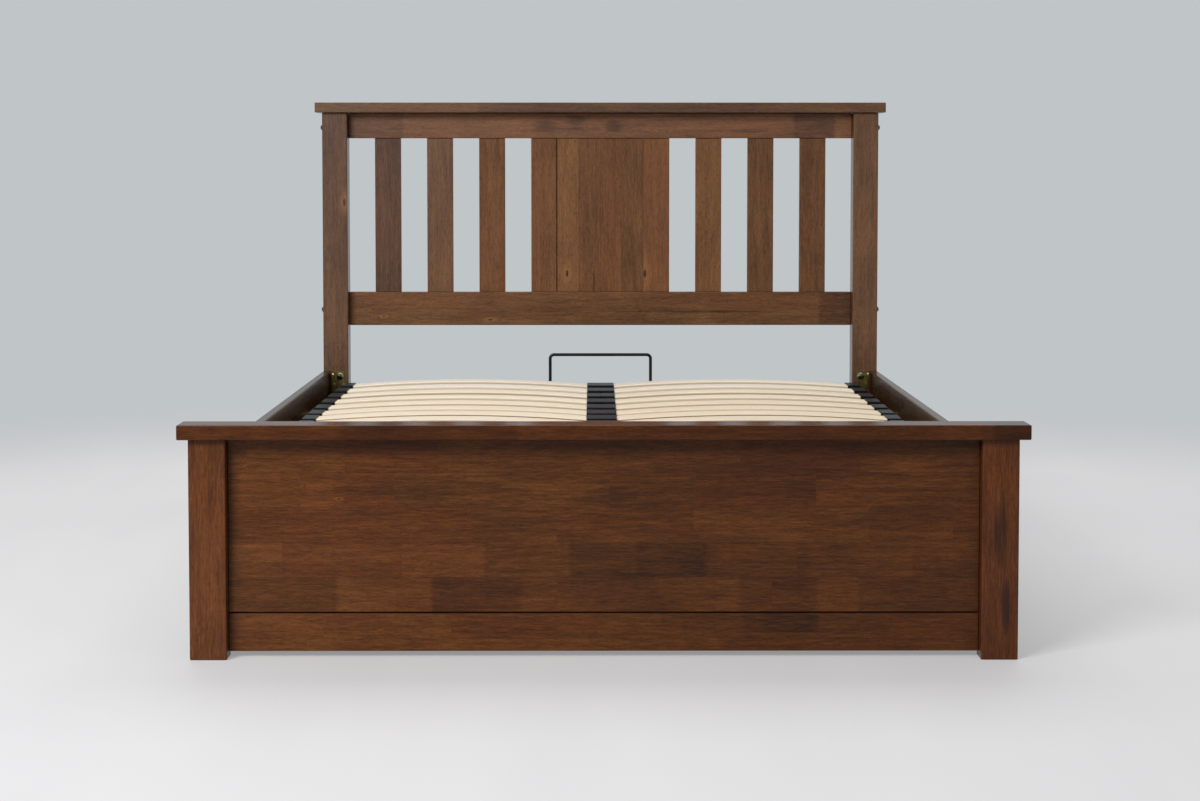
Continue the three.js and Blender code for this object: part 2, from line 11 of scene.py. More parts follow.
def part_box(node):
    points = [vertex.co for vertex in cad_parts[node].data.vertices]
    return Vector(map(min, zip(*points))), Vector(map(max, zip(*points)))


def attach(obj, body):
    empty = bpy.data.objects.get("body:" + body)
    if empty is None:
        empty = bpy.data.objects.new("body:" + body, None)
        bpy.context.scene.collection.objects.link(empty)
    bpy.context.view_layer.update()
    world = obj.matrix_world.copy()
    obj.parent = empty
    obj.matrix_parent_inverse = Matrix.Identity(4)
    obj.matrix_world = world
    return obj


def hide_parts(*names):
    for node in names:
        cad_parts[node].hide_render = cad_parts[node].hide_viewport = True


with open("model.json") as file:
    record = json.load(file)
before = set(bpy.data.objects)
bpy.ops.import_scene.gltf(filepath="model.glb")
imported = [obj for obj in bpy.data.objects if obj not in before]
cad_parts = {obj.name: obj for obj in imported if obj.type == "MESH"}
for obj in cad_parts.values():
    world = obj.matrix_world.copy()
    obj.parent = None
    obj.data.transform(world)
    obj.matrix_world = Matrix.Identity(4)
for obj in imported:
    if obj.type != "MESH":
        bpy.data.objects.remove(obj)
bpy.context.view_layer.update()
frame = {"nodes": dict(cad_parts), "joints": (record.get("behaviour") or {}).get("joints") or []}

bpy.context.scene.view_settings.view_transform = "Standard"

MM = 0.001
X, Y, Z = 0, 1, 2
SIDES = (("left", -1), ("right", 1))
# The two bodies that most pieces ride on
FRAME = "bed_frame"
LIFT = "lift_platform"


def paint(red, green, blue):
    """A colour as it looks on a screen, 0 to 255, turned into the shader's linear numbers."""
    def linear(value):
        share = value / 255
        return share / 12.92 if share <= 0.04045 else ((share + 0.055) / 1.055) ** 2.4
    return (linear(red), linear(green), linear(blue), 1)


def add_object(name, data):
    thing = bpy.data.objects.new(name, data)
    bpy.context.scene.collection.objects.link(thing)
    return thing


def add_mesh(shape, name, finish):
    mesh = bpy.data.meshes.new(name)
    shape.to_mesh(mesh)
    shape.free()
    mesh.materials.append(finish.material)
    return add_object(name, mesh)


# Camera and lamps

def make_camera():
    """A long lens at the foot end, at the photograph's height and distance."""
    data = bpy.data.cameras.new("camera")
    data.sensor_width = 36
    data.lens = 66.858
    data.shift_y = -0.09
    data.dof.use_dof = False
    camera = add_object("camera", data)
    pitch_down = math.radians(3.0905)
    turn_right = math.radians(0.181)
    camera.location = (-0.019267, -4.870936, 0.853156)
    camera.rotation_euler = (math.pi / 2 - pitch_down, 0, -turn_right)
    bpy.context.scene.camera = camera


def make_lamp(name, place, aim, width, height, power):
    """A soft rectangular lamp at a place, turned to face its aim."""
    data = bpy.data.lights.new(name, "AREA")
    data.shape = "RECTANGLE"
    data.size = width
    data.size_y = height
    data.energy = power
    lamp = add_object(name, data)
    lamp.location = place
    lamp.rotation_euler = (Vector(aim) - Vector(place)).to_track_quat("-Z", "Y").to_euler()


# Shader maths

class Signal:
    """A number that varies over a surface. Python sums with it add Math nodes to its tree."""

    def __init__(self, nodes, socket):
        self.nodes = nodes
        self.socket = socket

    def math(self, operation, *others):
        return self.nodes.math(operation, self, *others)

    def __rsub__(self, other):
        return self.nodes.math("SUBTRACT", other, self)

    __add__ = __radd__ = partialmethod(math, "ADD")
    __sub__ = partialmethod(math, "SUBTRACT")
    __mul__ = __rmul__ = partialmethod(math, "MULTIPLY")
    __truediv__ = partialmethod(math, "DIVIDE")
    floor = partialmethod(math, "FLOOR")
    fract = partialmethod(math, "FRACT")
    sine = partialmethod(math, "SINE")
    size = partialmethod(math, "ABSOLUTE")
    root = partialmethod(math, "SQRT")
    larger = partialmethod(math, "MAXIMUM")

    def rise(self, low, high):
        """0 below low, 1 above high, and a smooth rise between them."""
        node = self.nodes.node("ShaderNodeMapRange", interpolation_type="SMOOTHSTEP", sockets={
            "Value": self, "From Min": low, "From Max": high})
        return Signal(self.nodes, node.outputs[0])

    def fall(self, low, high):
        return 1 - self.rise(low, high)

    def between(self, low, high, fade):
        """1 from low to high, with each end faded to both sides."""
        return self.rise(low - fade, low + fade) * self.fall(high - fade, high + fade)


class NodeTree:
    """The nodes of a material or of the world, under construction."""

    def __init__(self, owner):
        owner.use_nodes = True
        self.tree = owner.node_tree
        self.tree.nodes.clear()

    def node(self, kind, sockets=(), **settings):
        """Adds a node. Its settings are set first, then the values or links of its sockets.

        A node given as a value stands for its first output.
        """
        node = self.tree.nodes.new(kind)
        for name, value in settings.items():
            if name == "stops":
                self.set_stops(node.color_ramp, value)
            else:
                setattr(node, name, value)
        for name, value in dict(sockets).items():
            if isinstance(value, Signal):
                value = value.socket
            elif isinstance(value, bpy.types.Node):
                value = value.outputs[0]
            if isinstance(value, bpy.types.NodeSocket):
                self.tree.links.new(value, node.inputs[name])
            else:
                node.inputs[name].default_value = value
        return node

    def math(self, operation, *values):
        node = self.node("ShaderNodeMath", dict(enumerate(values)), operation=operation)
        return Signal(self, node.outputs[0])

    @staticmethod
    def set_stops(ramp, stops):
        while len(ramp.elements) < len(stops):
            ramp.elements.new(0.5)
        for element, (position, colour) in zip(ramp.elements, stops):
            element.position = position
            element.color = paint(*colour)

    def seen(self):
        """1 for what the camera, a reflection or a clear thing shows, and 0 for light itself."""
        path = self.node("ShaderNodeLightPath")
        camera, glossy, through = (Signal(self, path.outputs[f"Is {ray} Ray"])
                                   for ray in ("Camera", "Glossy", "Transmission"))
        return camera.larger(glossy).larger(through)


class Finish(NodeTree):
    """A material under construction, with the record's slot that it stands for."""

    def __init__(self, name, slot=None):
        self.material = bpy.data.materials.new(name)
        self.slot = slot
        super().__init__(self.material)

    def places(self):
        """The three coordinates of the surface, in metres."""
        source = self.node("ShaderNodeTexCoord")
        parts = self.node("ShaderNodeSeparateXYZ", {0: source.outputs["Object"]})
        return [Signal(self, socket) for socket in parts.outputs]

    def attribute(self, name):
        node = self.node("ShaderNodeAttribute", attribute_name=name)
        return Signal(self, node.outputs["Fac"])

    def noise(self, x, y, z, detail=3, roughness=0.5, distortion=0):
        vector = self.node("ShaderNodeCombineXYZ", {0: x, 1: y, 2: z})
        node = self.node("ShaderNodeTexNoise", noise_dimensions="3D", sockets={
            "Vector": vector, "Scale": 1, "Detail": detail, "Roughness": roughness,
            "Distortion": distortion})
        return Signal(self, node.outputs[0])

    def chance(self, x, y):
        """An even random number from 0 to 1 for each pair of whole numbers."""
        vector = self.node("ShaderNodeCombineXYZ", {0: x, 1: y})
        node = self.node("ShaderNodeTexWhiteNoise", {"Vector": vector}, noise_dimensions="2D")
        return Signal(self, node.outputs["Value"])

    def mix(self, share, first, second, how="MIX"):
        node = self.node("ShaderNodeMix", {0: share, 6: first, 7: second}, data_type="RGBA",
                         blend_type=how)
        return node.outputs[2]

    def ramp(self, level, stops):
        return self.node("ShaderNodeValToRGB", {0: level}, stops=stops)

    def relief(self, height, distance, strength):
        return self.node("ShaderNodeBump",
                         {"Height": height, "Distance": distance, "Strength": strength})

    def surface(self, **sockets):
        """Closes the material with one Principled shader."""
        named = {name.replace("_", " "): value for name, value in sockets.items()}
        shader = self.node("ShaderNodeBsdfPrincipled", named)
        self.node("ShaderNodeOutputMaterial", {"Surface": shader})
        return self


# Room and floor, which show this colour to the camera

BACKDROP = paint(192, 197, 200)


def make_world():
    """An even pale room. The camera and mirror-like faces see the backdrop's own colour."""
    world = bpy.data.worlds.new("studio")
    bpy.context.scene.world = world
    nodes = NodeTree(world)
    room = nodes.node("ShaderNodeBackground", {"Color": paint(240, 244, 250), "Strength": 0.27})
    view = nodes.node("ShaderNodeBackground", {"Color": BACKDROP, "Strength": 1})
    mixed = nodes.node("ShaderNodeMixShader", {0: nodes.seen(), 1: room, 2: view})
    nodes.node("ShaderNodeOutputWorld", {"Surface": mixed})


def make_floor():
    """A pale floor that takes the bed's shadow and fades into the backdrop far away."""
    finish = Finish("pale_floor")
    x, y, _ = finish.places()
    far = (x * x + y * y).root()
    grain = finish.noise(x * 3, y * 0.6, 0, detail=4)
    colour = finish.ramp(grain, [(0.3, (209, 208, 209)), (0.7, (217, 216, 216))])
    lit = finish.node("ShaderNodeBsdfPrincipled", {"Base Color": colour, "Roughness": 0.6})
    glow = finish.node("ShaderNodeEmission", {"Color": BACKDROP, "Strength": 1})
    bounce = finish.node("ShaderNodeEmission", {"Color": paint(238, 236, 237), "Strength": 1})
    seen = finish.seen()
    pale = finish.node("ShaderNodeMixShader", {0: seen * 0.34, 1: lit, 2: bounce})
    mixed = finish.node("ShaderNodeMixShader", {0: far.rise(1.9, 3.8) * seen, 1: pale, 2: glow})
    finish.node("ShaderNodeOutputMaterial", {"Surface": mixed})
    shape = bmesh.new()
    bmesh.ops.create_circle(shape, cap_ends=True, segments=96, radius=9)
    add_mesh(shape, "floor", finish)


# Finishes

# The stain's three shades, then how strongly the wood under the lacquer shines. The head's shades
# are lighter and greyer than the foot's: the stain plus painted reflection of the pale room on the
# lacquer
HEAD_WOOD_AND_SHEEN = ((64, 40, 25), (106, 72, 44), (136, 95, 58), 0.1)
HEAD_TOP_WOOD_AND_SHEEN = (*HEAD_WOOD_AND_SHEEN[:3], 0.24)
FOOT_WOOD = ((43, 21, 6), (77, 42, 13), (108, 64, 26), 0.06)
FOOT_CAP_WOOD = ((39, 17, 4), (72, 37, 9), (102, 58, 20), 0.03)
FOOT_POST_WOOD = ((44, 20, 7), (78, 41, 14), (110, 63, 27), 0.08)
# The rails' shades are darker than the foot's: the stain plus painted shade for the rails' shaded
# inner faces
RAIL_WOOD_AND_SHADE = ((36, 22, 10), (62, 40, 20), (88, 58, 31), 0.05)
DEEP_GRAIN = paint(38, 20, 11)

# The length of a board's glued blocks, and how far their tones differ
WHOLE = (40, 0.1)
# A limit beyond every board, and limits that take in the whole of one
FAR = 9
ALL = (-FAR, FAR)
# How far the edges of a patch fade to each side, along and across the grain
PATCH_END = 6 * MM
PATCH_SIDE = 2 * MM


def stained_hardwood(name, grain, across, laid, shades, seed, blocks=WHOLE, lean=0, drift=0,
                     patches=(), knots=(), streaks=()):
    """Glued hardwood staves under a brown stain and a satin lacquer.

    The grain runs along one axis, and staves lie side by side across it: laid is where the first
    one starts and their width. Each is joined end to end from blocks. Lean is how much lighter
    the wood is, and drift how much lighter it gets per metre of grain. A patch is a lighter or
    darker stretch: (low and high along the grain, low and high across it, change). A knot is
    (along, across, radius), and a streak is a soft dark mark: (along, across, half length, half
    width, strength).
    """
    finish = Finish(name, "stained_hardwood")
    start, stave = laid
    block, spread = blocks
    place = finish.places()
    run = place[grain]
    side = place[across]
    depth = place[3 - grain - across]
    row = ((side - start) / stave).floor()
    steps = run / block + finish.chance(row + seed, 3) * 17
    steps = steps + (steps * 2.3 + seed).sine() * 0.3
    count = steps.floor()
    tone = finish.chance(row + seed, count)
    tint = finish.chance(count + 31, row + seed)
    shift = tone * 9 + seed
    figure = finish.noise(run * 3.2 + shift, side * 40 + shift, depth * 40,
                          detail=6, roughness=0.66, distortion=0.5)
    mottle = finish.noise(run * 11 + shift, side * 140, depth * 140, detail=4, roughness=0.62)
    fibre = finish.noise(run * 44 + shift, side * 420, depth * 420, detail=4, roughness=0.7)
    pore = finish.noise(run * 100, side * 800 + shift, depth * 800, detail=2).rise(0.55, 0.68)
    cloud = finish.noise(run * 6 + seed, side * 11, depth * 11, detail=2)
    streak = finish.noise(run * 2.2 + seed, side * 34 + shift, depth * 34, detail=4, distortion=0.8)
    level = 0.5 + lean + run * drift + (tone - 0.5) * 0.5 * spread + (figure - 0.5) * 0.5
    level = level + (mottle - 0.5) * 0.6 + (fibre - 0.5) * 1.0 + (cloud - 0.5) * 0.4
    for low, high, bottom, top, change in patches:
        window = run.between(low, high, PATCH_END) * side.between(bottom, top, PATCH_SIDE)
        level = level + window * change
    cores = []
    for along, sideways, radius in knots:
        reach = ((run - along) * (run - along) * 0.14
                 + (side - sideways) * (side - sideways)).root() + (figure - 0.5) * radius * 2
        level = level + reach.fall(radius, radius * 4) * 0.35
        cores.append(reach.fall(radius * 0.5, radius) * 0.85)
    dark, middle, light, shine = shades
    colour = finish.ramp(level, [(0.1, dark), (0.5, middle), (0.92, light)])
    colour = finish.mix(tint * 0.5, colour, finish.mix(1, colour, paint(252, 222, 230), "MULTIPLY"))
    seam = 0.5 - (((side - start) / stave).fract() - 0.5).size()
    darker = [streak.rise(0.6, 0.76) * 0.25, pore * 0.55,
              seam.fall(0.2 * MM / stave, 0.9 * MM / stave) * 0.3, *cores]
    for along, sideways, reach_along, reach_across, strength in streaks:
        along_share = (run - along) / reach_along
        across_share = (side - sideways) / reach_across
        reach = (along_share * along_share + across_share * across_share).root()
        reach = reach + (figure - 0.5) * 1.6 + (mottle - 0.5) * 1.2
        darker.append(reach.fall(0.2, 1.2) * strength)
    for share in darker:
        colour = finish.mix(share, colour, DEEP_GRAIN)
    return finish.surface(
        Base_Color=colour, Roughness=0.48 - (figure - 0.5) * 0.16, Specular_IOR_Level=shine,
        Coat_Weight=0.7, Coat_IOR=1.26, Coat_Roughness=0.2,
        Normal=finish.relief(fibre * 0.7 - pore * 0.6, 0.25 * MM, 0.5))


def birch_veneer():
    """Pale laminated birch. The mesh says how far up its thickness each point is, its tone and how
    dark its middle plies are: partly a darker core veneer, partly painted shade along the foot of
    each front edge.
    """
    finish = Finish("birch_veneer", "birch_slat")
    x, y, z = finish.places()
    ply, tone, middle = (finish.attribute(name) for name in ("ply", "tone", "middle"))
    grain = finish.noise(x * 7 + tone * 20, y * 190, z * 40, detail=5, roughness=0.6,
                         distortion=0.4)
    cloud = finish.noise(x * 5 + tone * 9, y * 24, z * 8, detail=2)
    fleck = finish.noise(x * 26 + tone * 31, y * 260, z * 60, detail=2)
    level = 0.5 + (tone - 0.5) * 0.6 + (grain - 0.5) * 0.9 + (cloud - 0.5) * 0.5
    face = finish.ramp(level, [(0.1, (222, 203, 176)), (0.5, (237, 222, 200)),
                               (0.9, (247, 237, 221))])
    face = finish.mix(fleck.rise(0.69, 0.78) * 0.4, face, paint(168, 128, 88))
    layer = ((ply * 6).fract() - 0.5).size() * 2
    # The long upright edges are painted lighter than the faces: painted light, as they get less
    # light than the tops
    edge = finish.ramp(layer + (grain - 0.5) * 0.5,
                       [(0.1, (250, 237, 212)), (0.8, (243, 223, 190))])
    # The middle plies darken the lower part of each front edge: a darker core veneer and painted
    # shade
    core_and_shade = ply.rise(0.16, 0.22) * ply.fall(0.5, 0.76) * middle
    edge = finish.mix(core_and_shade, edge, paint(134, 94, 66))
    side = ply.rise(0.04, 0.14) * ply.fall(0.86, 0.96)
    colour = finish.mix(side, face, edge)
    colour = finish.mix((0.9 - tone) * 0.2, colour, paint(168, 144, 112))
    return finish.surface(Base_Color=colour, Roughness=0.58 - (grain - 0.5) * 0.2,
                          Specular_IOR_Level=0.2, Normal=finish.relief(grain, 0.15 * MM, 0.4))


def smooth_skin(name, slot, dark, light, gloss, skin, specular=0.5, coat=0.3):
    """Baked paint with its orange peel, or plastic with the texture of its mould.

    Skin is the bumps' scale, detail and height, then the scale and detail of the slow change of
    colour, and how far the roughness follows it.
    """
    finish = Finish(name, slot)
    x, y, z = finish.places()
    fine, fine_detail, height, broad, broad_detail, wear = skin
    bumps = finish.noise(x * fine, y * fine, z * fine, fine_detail)
    change = finish.noise(x * broad, y * broad, z * broad, broad_detail)
    return finish.surface(Base_Color=finish.ramp(change, [(0.3, dark), (0.7, light)]),
                          Roughness=gloss + (change - 0.5) * wear, Specular_IOR_Level=specular,
                          Coat_Weight=coat, Coat_Roughness=0.12,
                          Normal=finish.relief(bumps, height, 0.5))


def plated_steel(name, slot, stops, gloss, drawn):
    """Bright plating whose colour drifts, with fine lines from drawing the metal."""
    finish = Finish(name, slot)
    x, y, z = finish.places()
    drift = finish.noise(x * 26, y * 26, z * 26, detail=3, distortion=0.6)
    lines = finish.noise(x * 900, y * 900, z * drawn, detail=2)
    return finish.surface(Base_Color=finish.ramp(drift, stops), Metallic=1,
                          Roughness=gloss + (lines - 0.5) * 0.12,
                          Normal=finish.relief(lines, 0.02 * MM, 0.4))


def pressed_fibreboard():
    """Brown hardboard: short fibres pressed flat."""
    finish = Finish("pressed_fibreboard")
    x, y, z = finish.places()
    fibre = finish.noise(x * 260, y * 120, z * 260, detail=5, roughness=0.7, distortion=1.2)
    cloud = finish.noise(x * 5, y * 5, z * 5, detail=3)
    colour = finish.ramp(fibre * 0.8 + cloud * 0.2,
                         [(0.35, (104, 84, 64)), (0.5, (132, 109, 84)), (0.65, (152, 128, 102))])
    return finish.surface(Base_Color=colour, Roughness=0.72 + (fibre - 0.5) * 0.2,
                          Normal=finish.relief(fibre, 0.12 * MM, 0.6))


ZINC = plated_steel("yellow_zinc_plate", "yellow_zinc", [
    (0.3, (140, 134, 84)), (0.5, (172, 160, 106)), (0.7, (194, 174, 134))], 0.24, 60)
CHROME = plated_steel("polished_rod", "strut_chrome", [
    (0.3, (196, 198, 202)), (0.7, (214, 216, 218))], 0.12, 900)
POWDER = (420, 1, 0.08 * MM, 9, 4, 0.1)
MOULDED = (1600, 2, 0.06 * MM, 24, 3, 0.12)
BLACK_STEEL = smooth_skin("frame_powder_coat", "black_steel", (20, 20, 21), (32, 32, 34), 0.42,
                          POWDER)
BLACK_BOLT = smooth_skin("bolt_black_oxide", "black_steel", (10, 9, 9), (18, 17, 16), 0.16, POWDER)
GLOSS_BLACK = smooth_skin("retainer_gloss_black", "gloss_black_rod", (4, 4, 5), (8, 8, 9), 0.3,
                          POWDER, specular=0.25, coat=0.1)
STRUT_PAINT = smooth_skin("strut_paint", "strut_body", (18, 18, 19), (26, 26, 28), 0.3, POWDER)
HOLDER_PLASTIC = smooth_skin("holder_plastic", "black_plastic", (8, 9, 12), (14, 16, 21), 0.4,
                             MOULDED, specular=0.16, coat=0)
BROWN_COVER = smooth_skin("bolt_cover_brown", "stained_hardwood", (84, 48, 34), (100, 60, 42),
                          0.36, MOULDED, coat=0)
BIRCH = birch_veneer()
FIBREBOARD = pressed_fibreboard()


# Modelling tools

def finish_piece(shape, name, finish, body, node=None, sharp=35):
    """Turns a bmesh into a piece that rides on a body, in a CAD node's place if one is named."""
    bmesh.ops.remove_doubles(shape, verts=shape.verts, dist=0.002 * MM)
    bmesh.ops.recalc_face_normals(shape, faces=shape.faces)
    for face in shape.faces:
        face.smooth = True
    piece = add_mesh(shape, name, finish)
    piece.data.set_sharp_from_angle(angle=math.radians(sharp))
    even = piece.modifiers.new("even_shading", "WEIGHTED_NORMAL")
    even.keep_sharp = True
    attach(piece, body)
    if node:
        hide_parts(node)


def only(kind, geom):
    return [item for item in geom if isinstance(item, kind)]


def move(shape, verts, step):
    bmesh.ops.translate(shape, verts=verts, vec=step)


def out_from_middle(near, far, side):
    """The lowest and highest X between two distances out from the bed's middle line."""
    return (near, far) if side > 0 else (-far, -near)


def ease(shape, geom, radius, segments, affect="EDGES"):
    """Rounds edges or corners."""
    bmesh.ops.bevel(shape, geom=geom, offset=radius, offset_type="OFFSET", segments=segments,
                    profile=0.5, affect=affect, material=-1, clamp_overlap=True)


def sharp_edges(shape):
    return [edge for edge in shape.edges if edge.calc_face_angle(0) > math.radians(60)]


def slice_across(shape, x):
    """Cuts a shape's faces along a plane across the X axis."""
    bmesh.ops.bisect_plane(shape, geom=shape.verts[:] + shape.edges[:] + shape.faces[:],
                           plane_co=(x, 0, 0), plane_no=(1, 0, 0))


def add_block(shape, low, high, radius, segments=3, axis=None):
    """Adds a block between two corners, and rounds its edges, or only those along one axis."""
    low = Vector(low)
    high = Vector(high)
    made = bmesh.ops.create_cube(shape, size=1)["verts"]
    bmesh.ops.scale(shape, vec=high - low, verts=made)
    move(shape, made, (low + high) / 2)

    def chosen(edge):
        line = edge.verts[1].co - edge.verts[0].co
        return edge.verts[0] in made and (axis is None or abs(line[axis]) > 0.99 * line.length)

    ease(shape, [edge for edge in shape.edges if chosen(edge)], radius, segments)


def facing(direction, place):
    """A matrix that lays the Z axis along a direction from a place."""
    turn = Vector(direction).to_track_quat("Z", "Y").to_matrix().to_4x4()
    return Matrix.Translation(place) @ turn


def add_turned(shape, direction, place, points, steps=32):
    """Adds a piece turned from (radius, height) points round a direction from a place."""
    before = set(shape.verts)
    verts = [shape.verts.new((radius, 0, height)) for radius, height in points]
    edges = [shape.edges.new(pair) for pair in zip(verts, verts[1:])]
    if points[0][0] and points[-1][0]:
        edges.append(shape.edges.new((verts[-1], verts[0])))
    bmesh.ops.spin(shape, geom=verts + edges, cent=(0, 0, 0), axis=(0, 0, 1), angle=math.tau,
                   steps=steps, use_merge=True)
    own = [vert for vert in shape.verts if vert not in before]
    bmesh.ops.transform(shape, matrix=facing(direction, place), verts=own)
    bmesh.ops.remove_doubles(shape, verts=own, dist=0.001 * MM)


def make_turned(name, finish, body, node, direction, place, *profiles, steps=32):
    """A piece turned on one line from one or more profiles."""
    shape = bmesh.new()
    for points in profiles:
        add_turned(shape, direction, place, points, steps)
    finish_piece(shape, name, finish, body, node)


def in_mm(points):
    """A turned profile in metres, from one in millimetres."""
    return [(radius * MM, height * MM) for radius, height in points]


def half_round(radius, rise, steps=6):
    """Points of a dome's profile, from its rim to its crown."""
    angles = [step / steps * math.pi / 2 for step in range(steps + 1)]
    return [(radius * math.cos(angle), rise * math.sin(angle)) for angle in angles]


def evenly(start, stop, margin, count):
    """Evenly spaced places on a stretch, the outer two a share of it in from its ends."""
    return [start + (margin + (1 - 2 * margin) * index / (count - 1)) * (stop - start)
            for index in range(count)]


# Screws

SCREW_HEAD = 4 * MM
SCREW_RISE = 1.9 * MM
# Shares of the head's radius: its flat top, the cross's waist, and its arms beyond that
SCREW_TOP = 0.62
CROSS_WAIST = 0.14
CROSS_ARM = 0.36


def add_screw(shape, place, direction):
    """Adds a domed screw head with a cross recess, standing on a face."""
    before = set(shape.verts)
    made = bmesh.ops.create_cone(shape, cap_ends=True, segments=24, radius1=SCREW_HEAD,
                                 radius2=SCREW_HEAD * SCREW_TOP, depth=SCREW_RISE)["verts"]
    top = max((face for vert in made for face in vert.link_faces),
              key=lambda face: face.calc_center_median().z)

    def step_in(share, depth=0):
        bmesh.ops.inset_individual(shape, faces=[top], thickness=SCREW_HEAD * share, depth=depth)

    step_in(0.12)
    move(shape, top.verts, (0, 0, SCREW_RISE * 0.12))
    step_in(0.08)
    for vert in top.verts:
        angle = math.atan2(vert.co.y, vert.co.x)
        arm = max(abs(math.cos(angle)), abs(math.sin(angle))) ** 14
        reach = SCREW_HEAD * (CROSS_WAIST + CROSS_ARM * arm)
        vert.co.x = reach * math.cos(angle)
        vert.co.y = reach * math.sin(angle)
    step_in(0.02, -SCREW_RISE / 2)
    own = [vert for vert in shape.verts if vert not in before]
    raised = Matrix.Translation((0, 0, SCREW_RISE / 2))
    bmesh.ops.transform(shape, matrix=facing(direction, place) @ raised, verts=own)


def make_screws(name, direction, places):
    """Zinc screw heads that all face one way."""
    shape = bmesh.new()
    for place in places:
        add_screw(shape, place, direction)
    finish_piece(shape, name, ZINC, FRAME)


# Wooden pieces

EDGE = 2.2 * MM
FINE_EDGE = 1.2 * MM
TONGUE_EDGE = 0.3 * MM
JOINT_LINE = 2 * MM
JOINT_TONGUE = 3 * MM
GROOVE = 2.7 * MM
GROOVE_TONGUE = 3.5 * MM
BATTEN_SCREWS = 6
LEDGE_SCREWS = 9
RAIL_THICKNESS = 20 * MM
BLOCK_LENGTH = 50 * MM
GLUE_GAP = 0.3 * MM


def make_board(name, low, high, finish, node, edge=EDGE):
    """A planed board with eased edges."""
    shape = bmesh.new()
    add_block(shape, low, high, edge)
    finish_piece(shape, name, finish, FRAME, node)


def wooden(node, grain, across, staves, shades, seed, edge=EDGE, laid=None, low=None, high=None,
           **marks):
    """A board of so many staves in a wooden node's place, or of staves laid as said.

    Low and high say where some of its corners' coordinates differ from the node's.
    """
    start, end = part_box(node)
    laid = laid or (start[across], (end[across] - start[across]) / staves)
    finish = stained_hardwood(f"{node}_wood", grain, across, laid, shades, seed, **marks)
    for corner, changes in ((start, low), (end, high)):
        for axis, value in (changes or {}).items():
            corner[axis] = value
    make_board(f"{node}_board", start, end, finish, node, edge)


def make_headboard():
    for number, (label, side) in enumerate(SIDES):
        node = f"headboard_post_{label}"
        low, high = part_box(node)
        wooden(node, Z, X, 1, HEAD_TOP_WOOD_AND_SHEEN, 11 + number, lean=-0.17 + 0.13 * number,
               patches=[(0.4, 0.6995, *ALL, 0.05)],
               knots=[(0.7746, -0.6683, 4.2 * MM)] if side < 0 else [],
               streaks=[(0.9, low.x + 0.02, 0.12, 0.016, 0.25),
                        (0.62, high.x - 0.02, 0.1, 0.012, 0.2)])
    wooden("headboard_cap", X, Y, 2, HEAD_TOP_WOOD_AND_SHEEN, 23, lean=0.02, patches=[
        (-0.523, -0.317, *ALL, 0.06), (-0.317, 0.402, *ALL, -0.12), (0.402, 0.529, *ALL, -0.02),
        (0.529, 0.742, *ALL, 0.05)])
    wooden("headboard_top_rail", X, Z, 1, HEAD_TOP_WOOD_AND_SHEEN, 31, lean=0.12, patches=[
        (-FAR, -0.516, *ALL, -0.22), (-0.17, 0.508, *ALL, -0.05), (0.508, 0.615, *ALL, -0.26),
        (0.615, FAR, *ALL, 0.06)], streaks=[
        (-0.145, 0.975, 0.035, 0.02, 0.4), (-0.063, 0.984, 0.026, 0.024, 0.45),
        (0.034, 0.972, 0.024, 0.02, 0.55), (0.39, 0.96, 0.05, 0.008, 0.4)])
    wooden("headboard_lower_rail", X, Z, 2, HEAD_WOOD_AND_SHEEN, 47, blocks=(0.9, 0.16), lean=0.02,
           drift=-0.09, patches=[(0.577, FAR, *ALL, -0.16), (-0.05, 0.26, *ALL, -0.05)],
           knots=[(-0.5694, 0.475, 1.8 * MM), (-0.2895, 0.4652, 2.4 * MM)],
           streaks=[(0.26, 0.487, 0.2, 0.0045, 0.5), (0.33, 0.486, 0.05, 0.008, 0.5)])

    # The slats and the panel show between the rails
    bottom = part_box("headboard_lower_rail")[1].z
    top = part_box("headboard_top_rail")[0].z
    leans = (-0.25, -0.03, 0.02, 0.08, 0.14, 0.08, -0.03, -0.01)
    for number, lean in enumerate(leans, start=1):
        node = f"headboard_slat_{number}"
        low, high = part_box(node)
        joint = {X: high.x - JOINT_LINE} if number == 4 else {}
        wooden(node, Z, X, 1, HEAD_TOP_WOOD_AND_SHEEN if number < 3 else HEAD_WOOD_AND_SHEEN, 60 + 3 * number,
               FINE_EDGE, low={Z: bottom}, high={Z: top, **joint}, lean=lean,
               knots=[(0.5856, low.x + 4 * MM, 5.5 * MM)] if number == 5 else [])
    node = "headboard_centre_panel"
    low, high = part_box(node)
    quarter = (high.x - low.x) / 4
    wooden(node, Z, X, 4, HEAD_WOOD_AND_SHEEN, 101, FINE_EDGE, low={Z: bottom}, high={Z: top}, lean=0.04,
           patches=[(*ALL, low.x, low.x + quarter, 0.14),
                    (*ALL, low.x + quarter, low.x + 2 * quarter, -0.04),
                    (*ALL, low.x + 3 * quarter, high.x, -0.1)],
           knots=[(0.5869, -0.0874, 4 * MM)],
           streaks=[(0.56, low.x + 1.7 * quarter, 0.05, 0.004, 0.5)])
    # The tongue behind the joint is stained very dark: painted shade showing through the joint's
    # gap
    shadow = stained_hardwood("joint_shade_wood", Z, X, (low.x - 0.05, 0.1), FOOT_WOOD, 107,
                              lean=-0.5)
    make_board("centre_panel_joint_tongue", (low.x - JOINT_TONGUE, low.y + JOINT_LINE, bottom),
               (low.x + JOINT_TONGUE, high.y - JOINT_LINE, top), shadow, node, TONGUE_EDGE)
    node = "head_end_panel"
    wooden(node, X, Z, None, HEAD_WOOD_AND_SHEEN, 113, laid=(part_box(node)[0].z, 0.068), blocks=(0.3, 1),
           lean=-0.06)


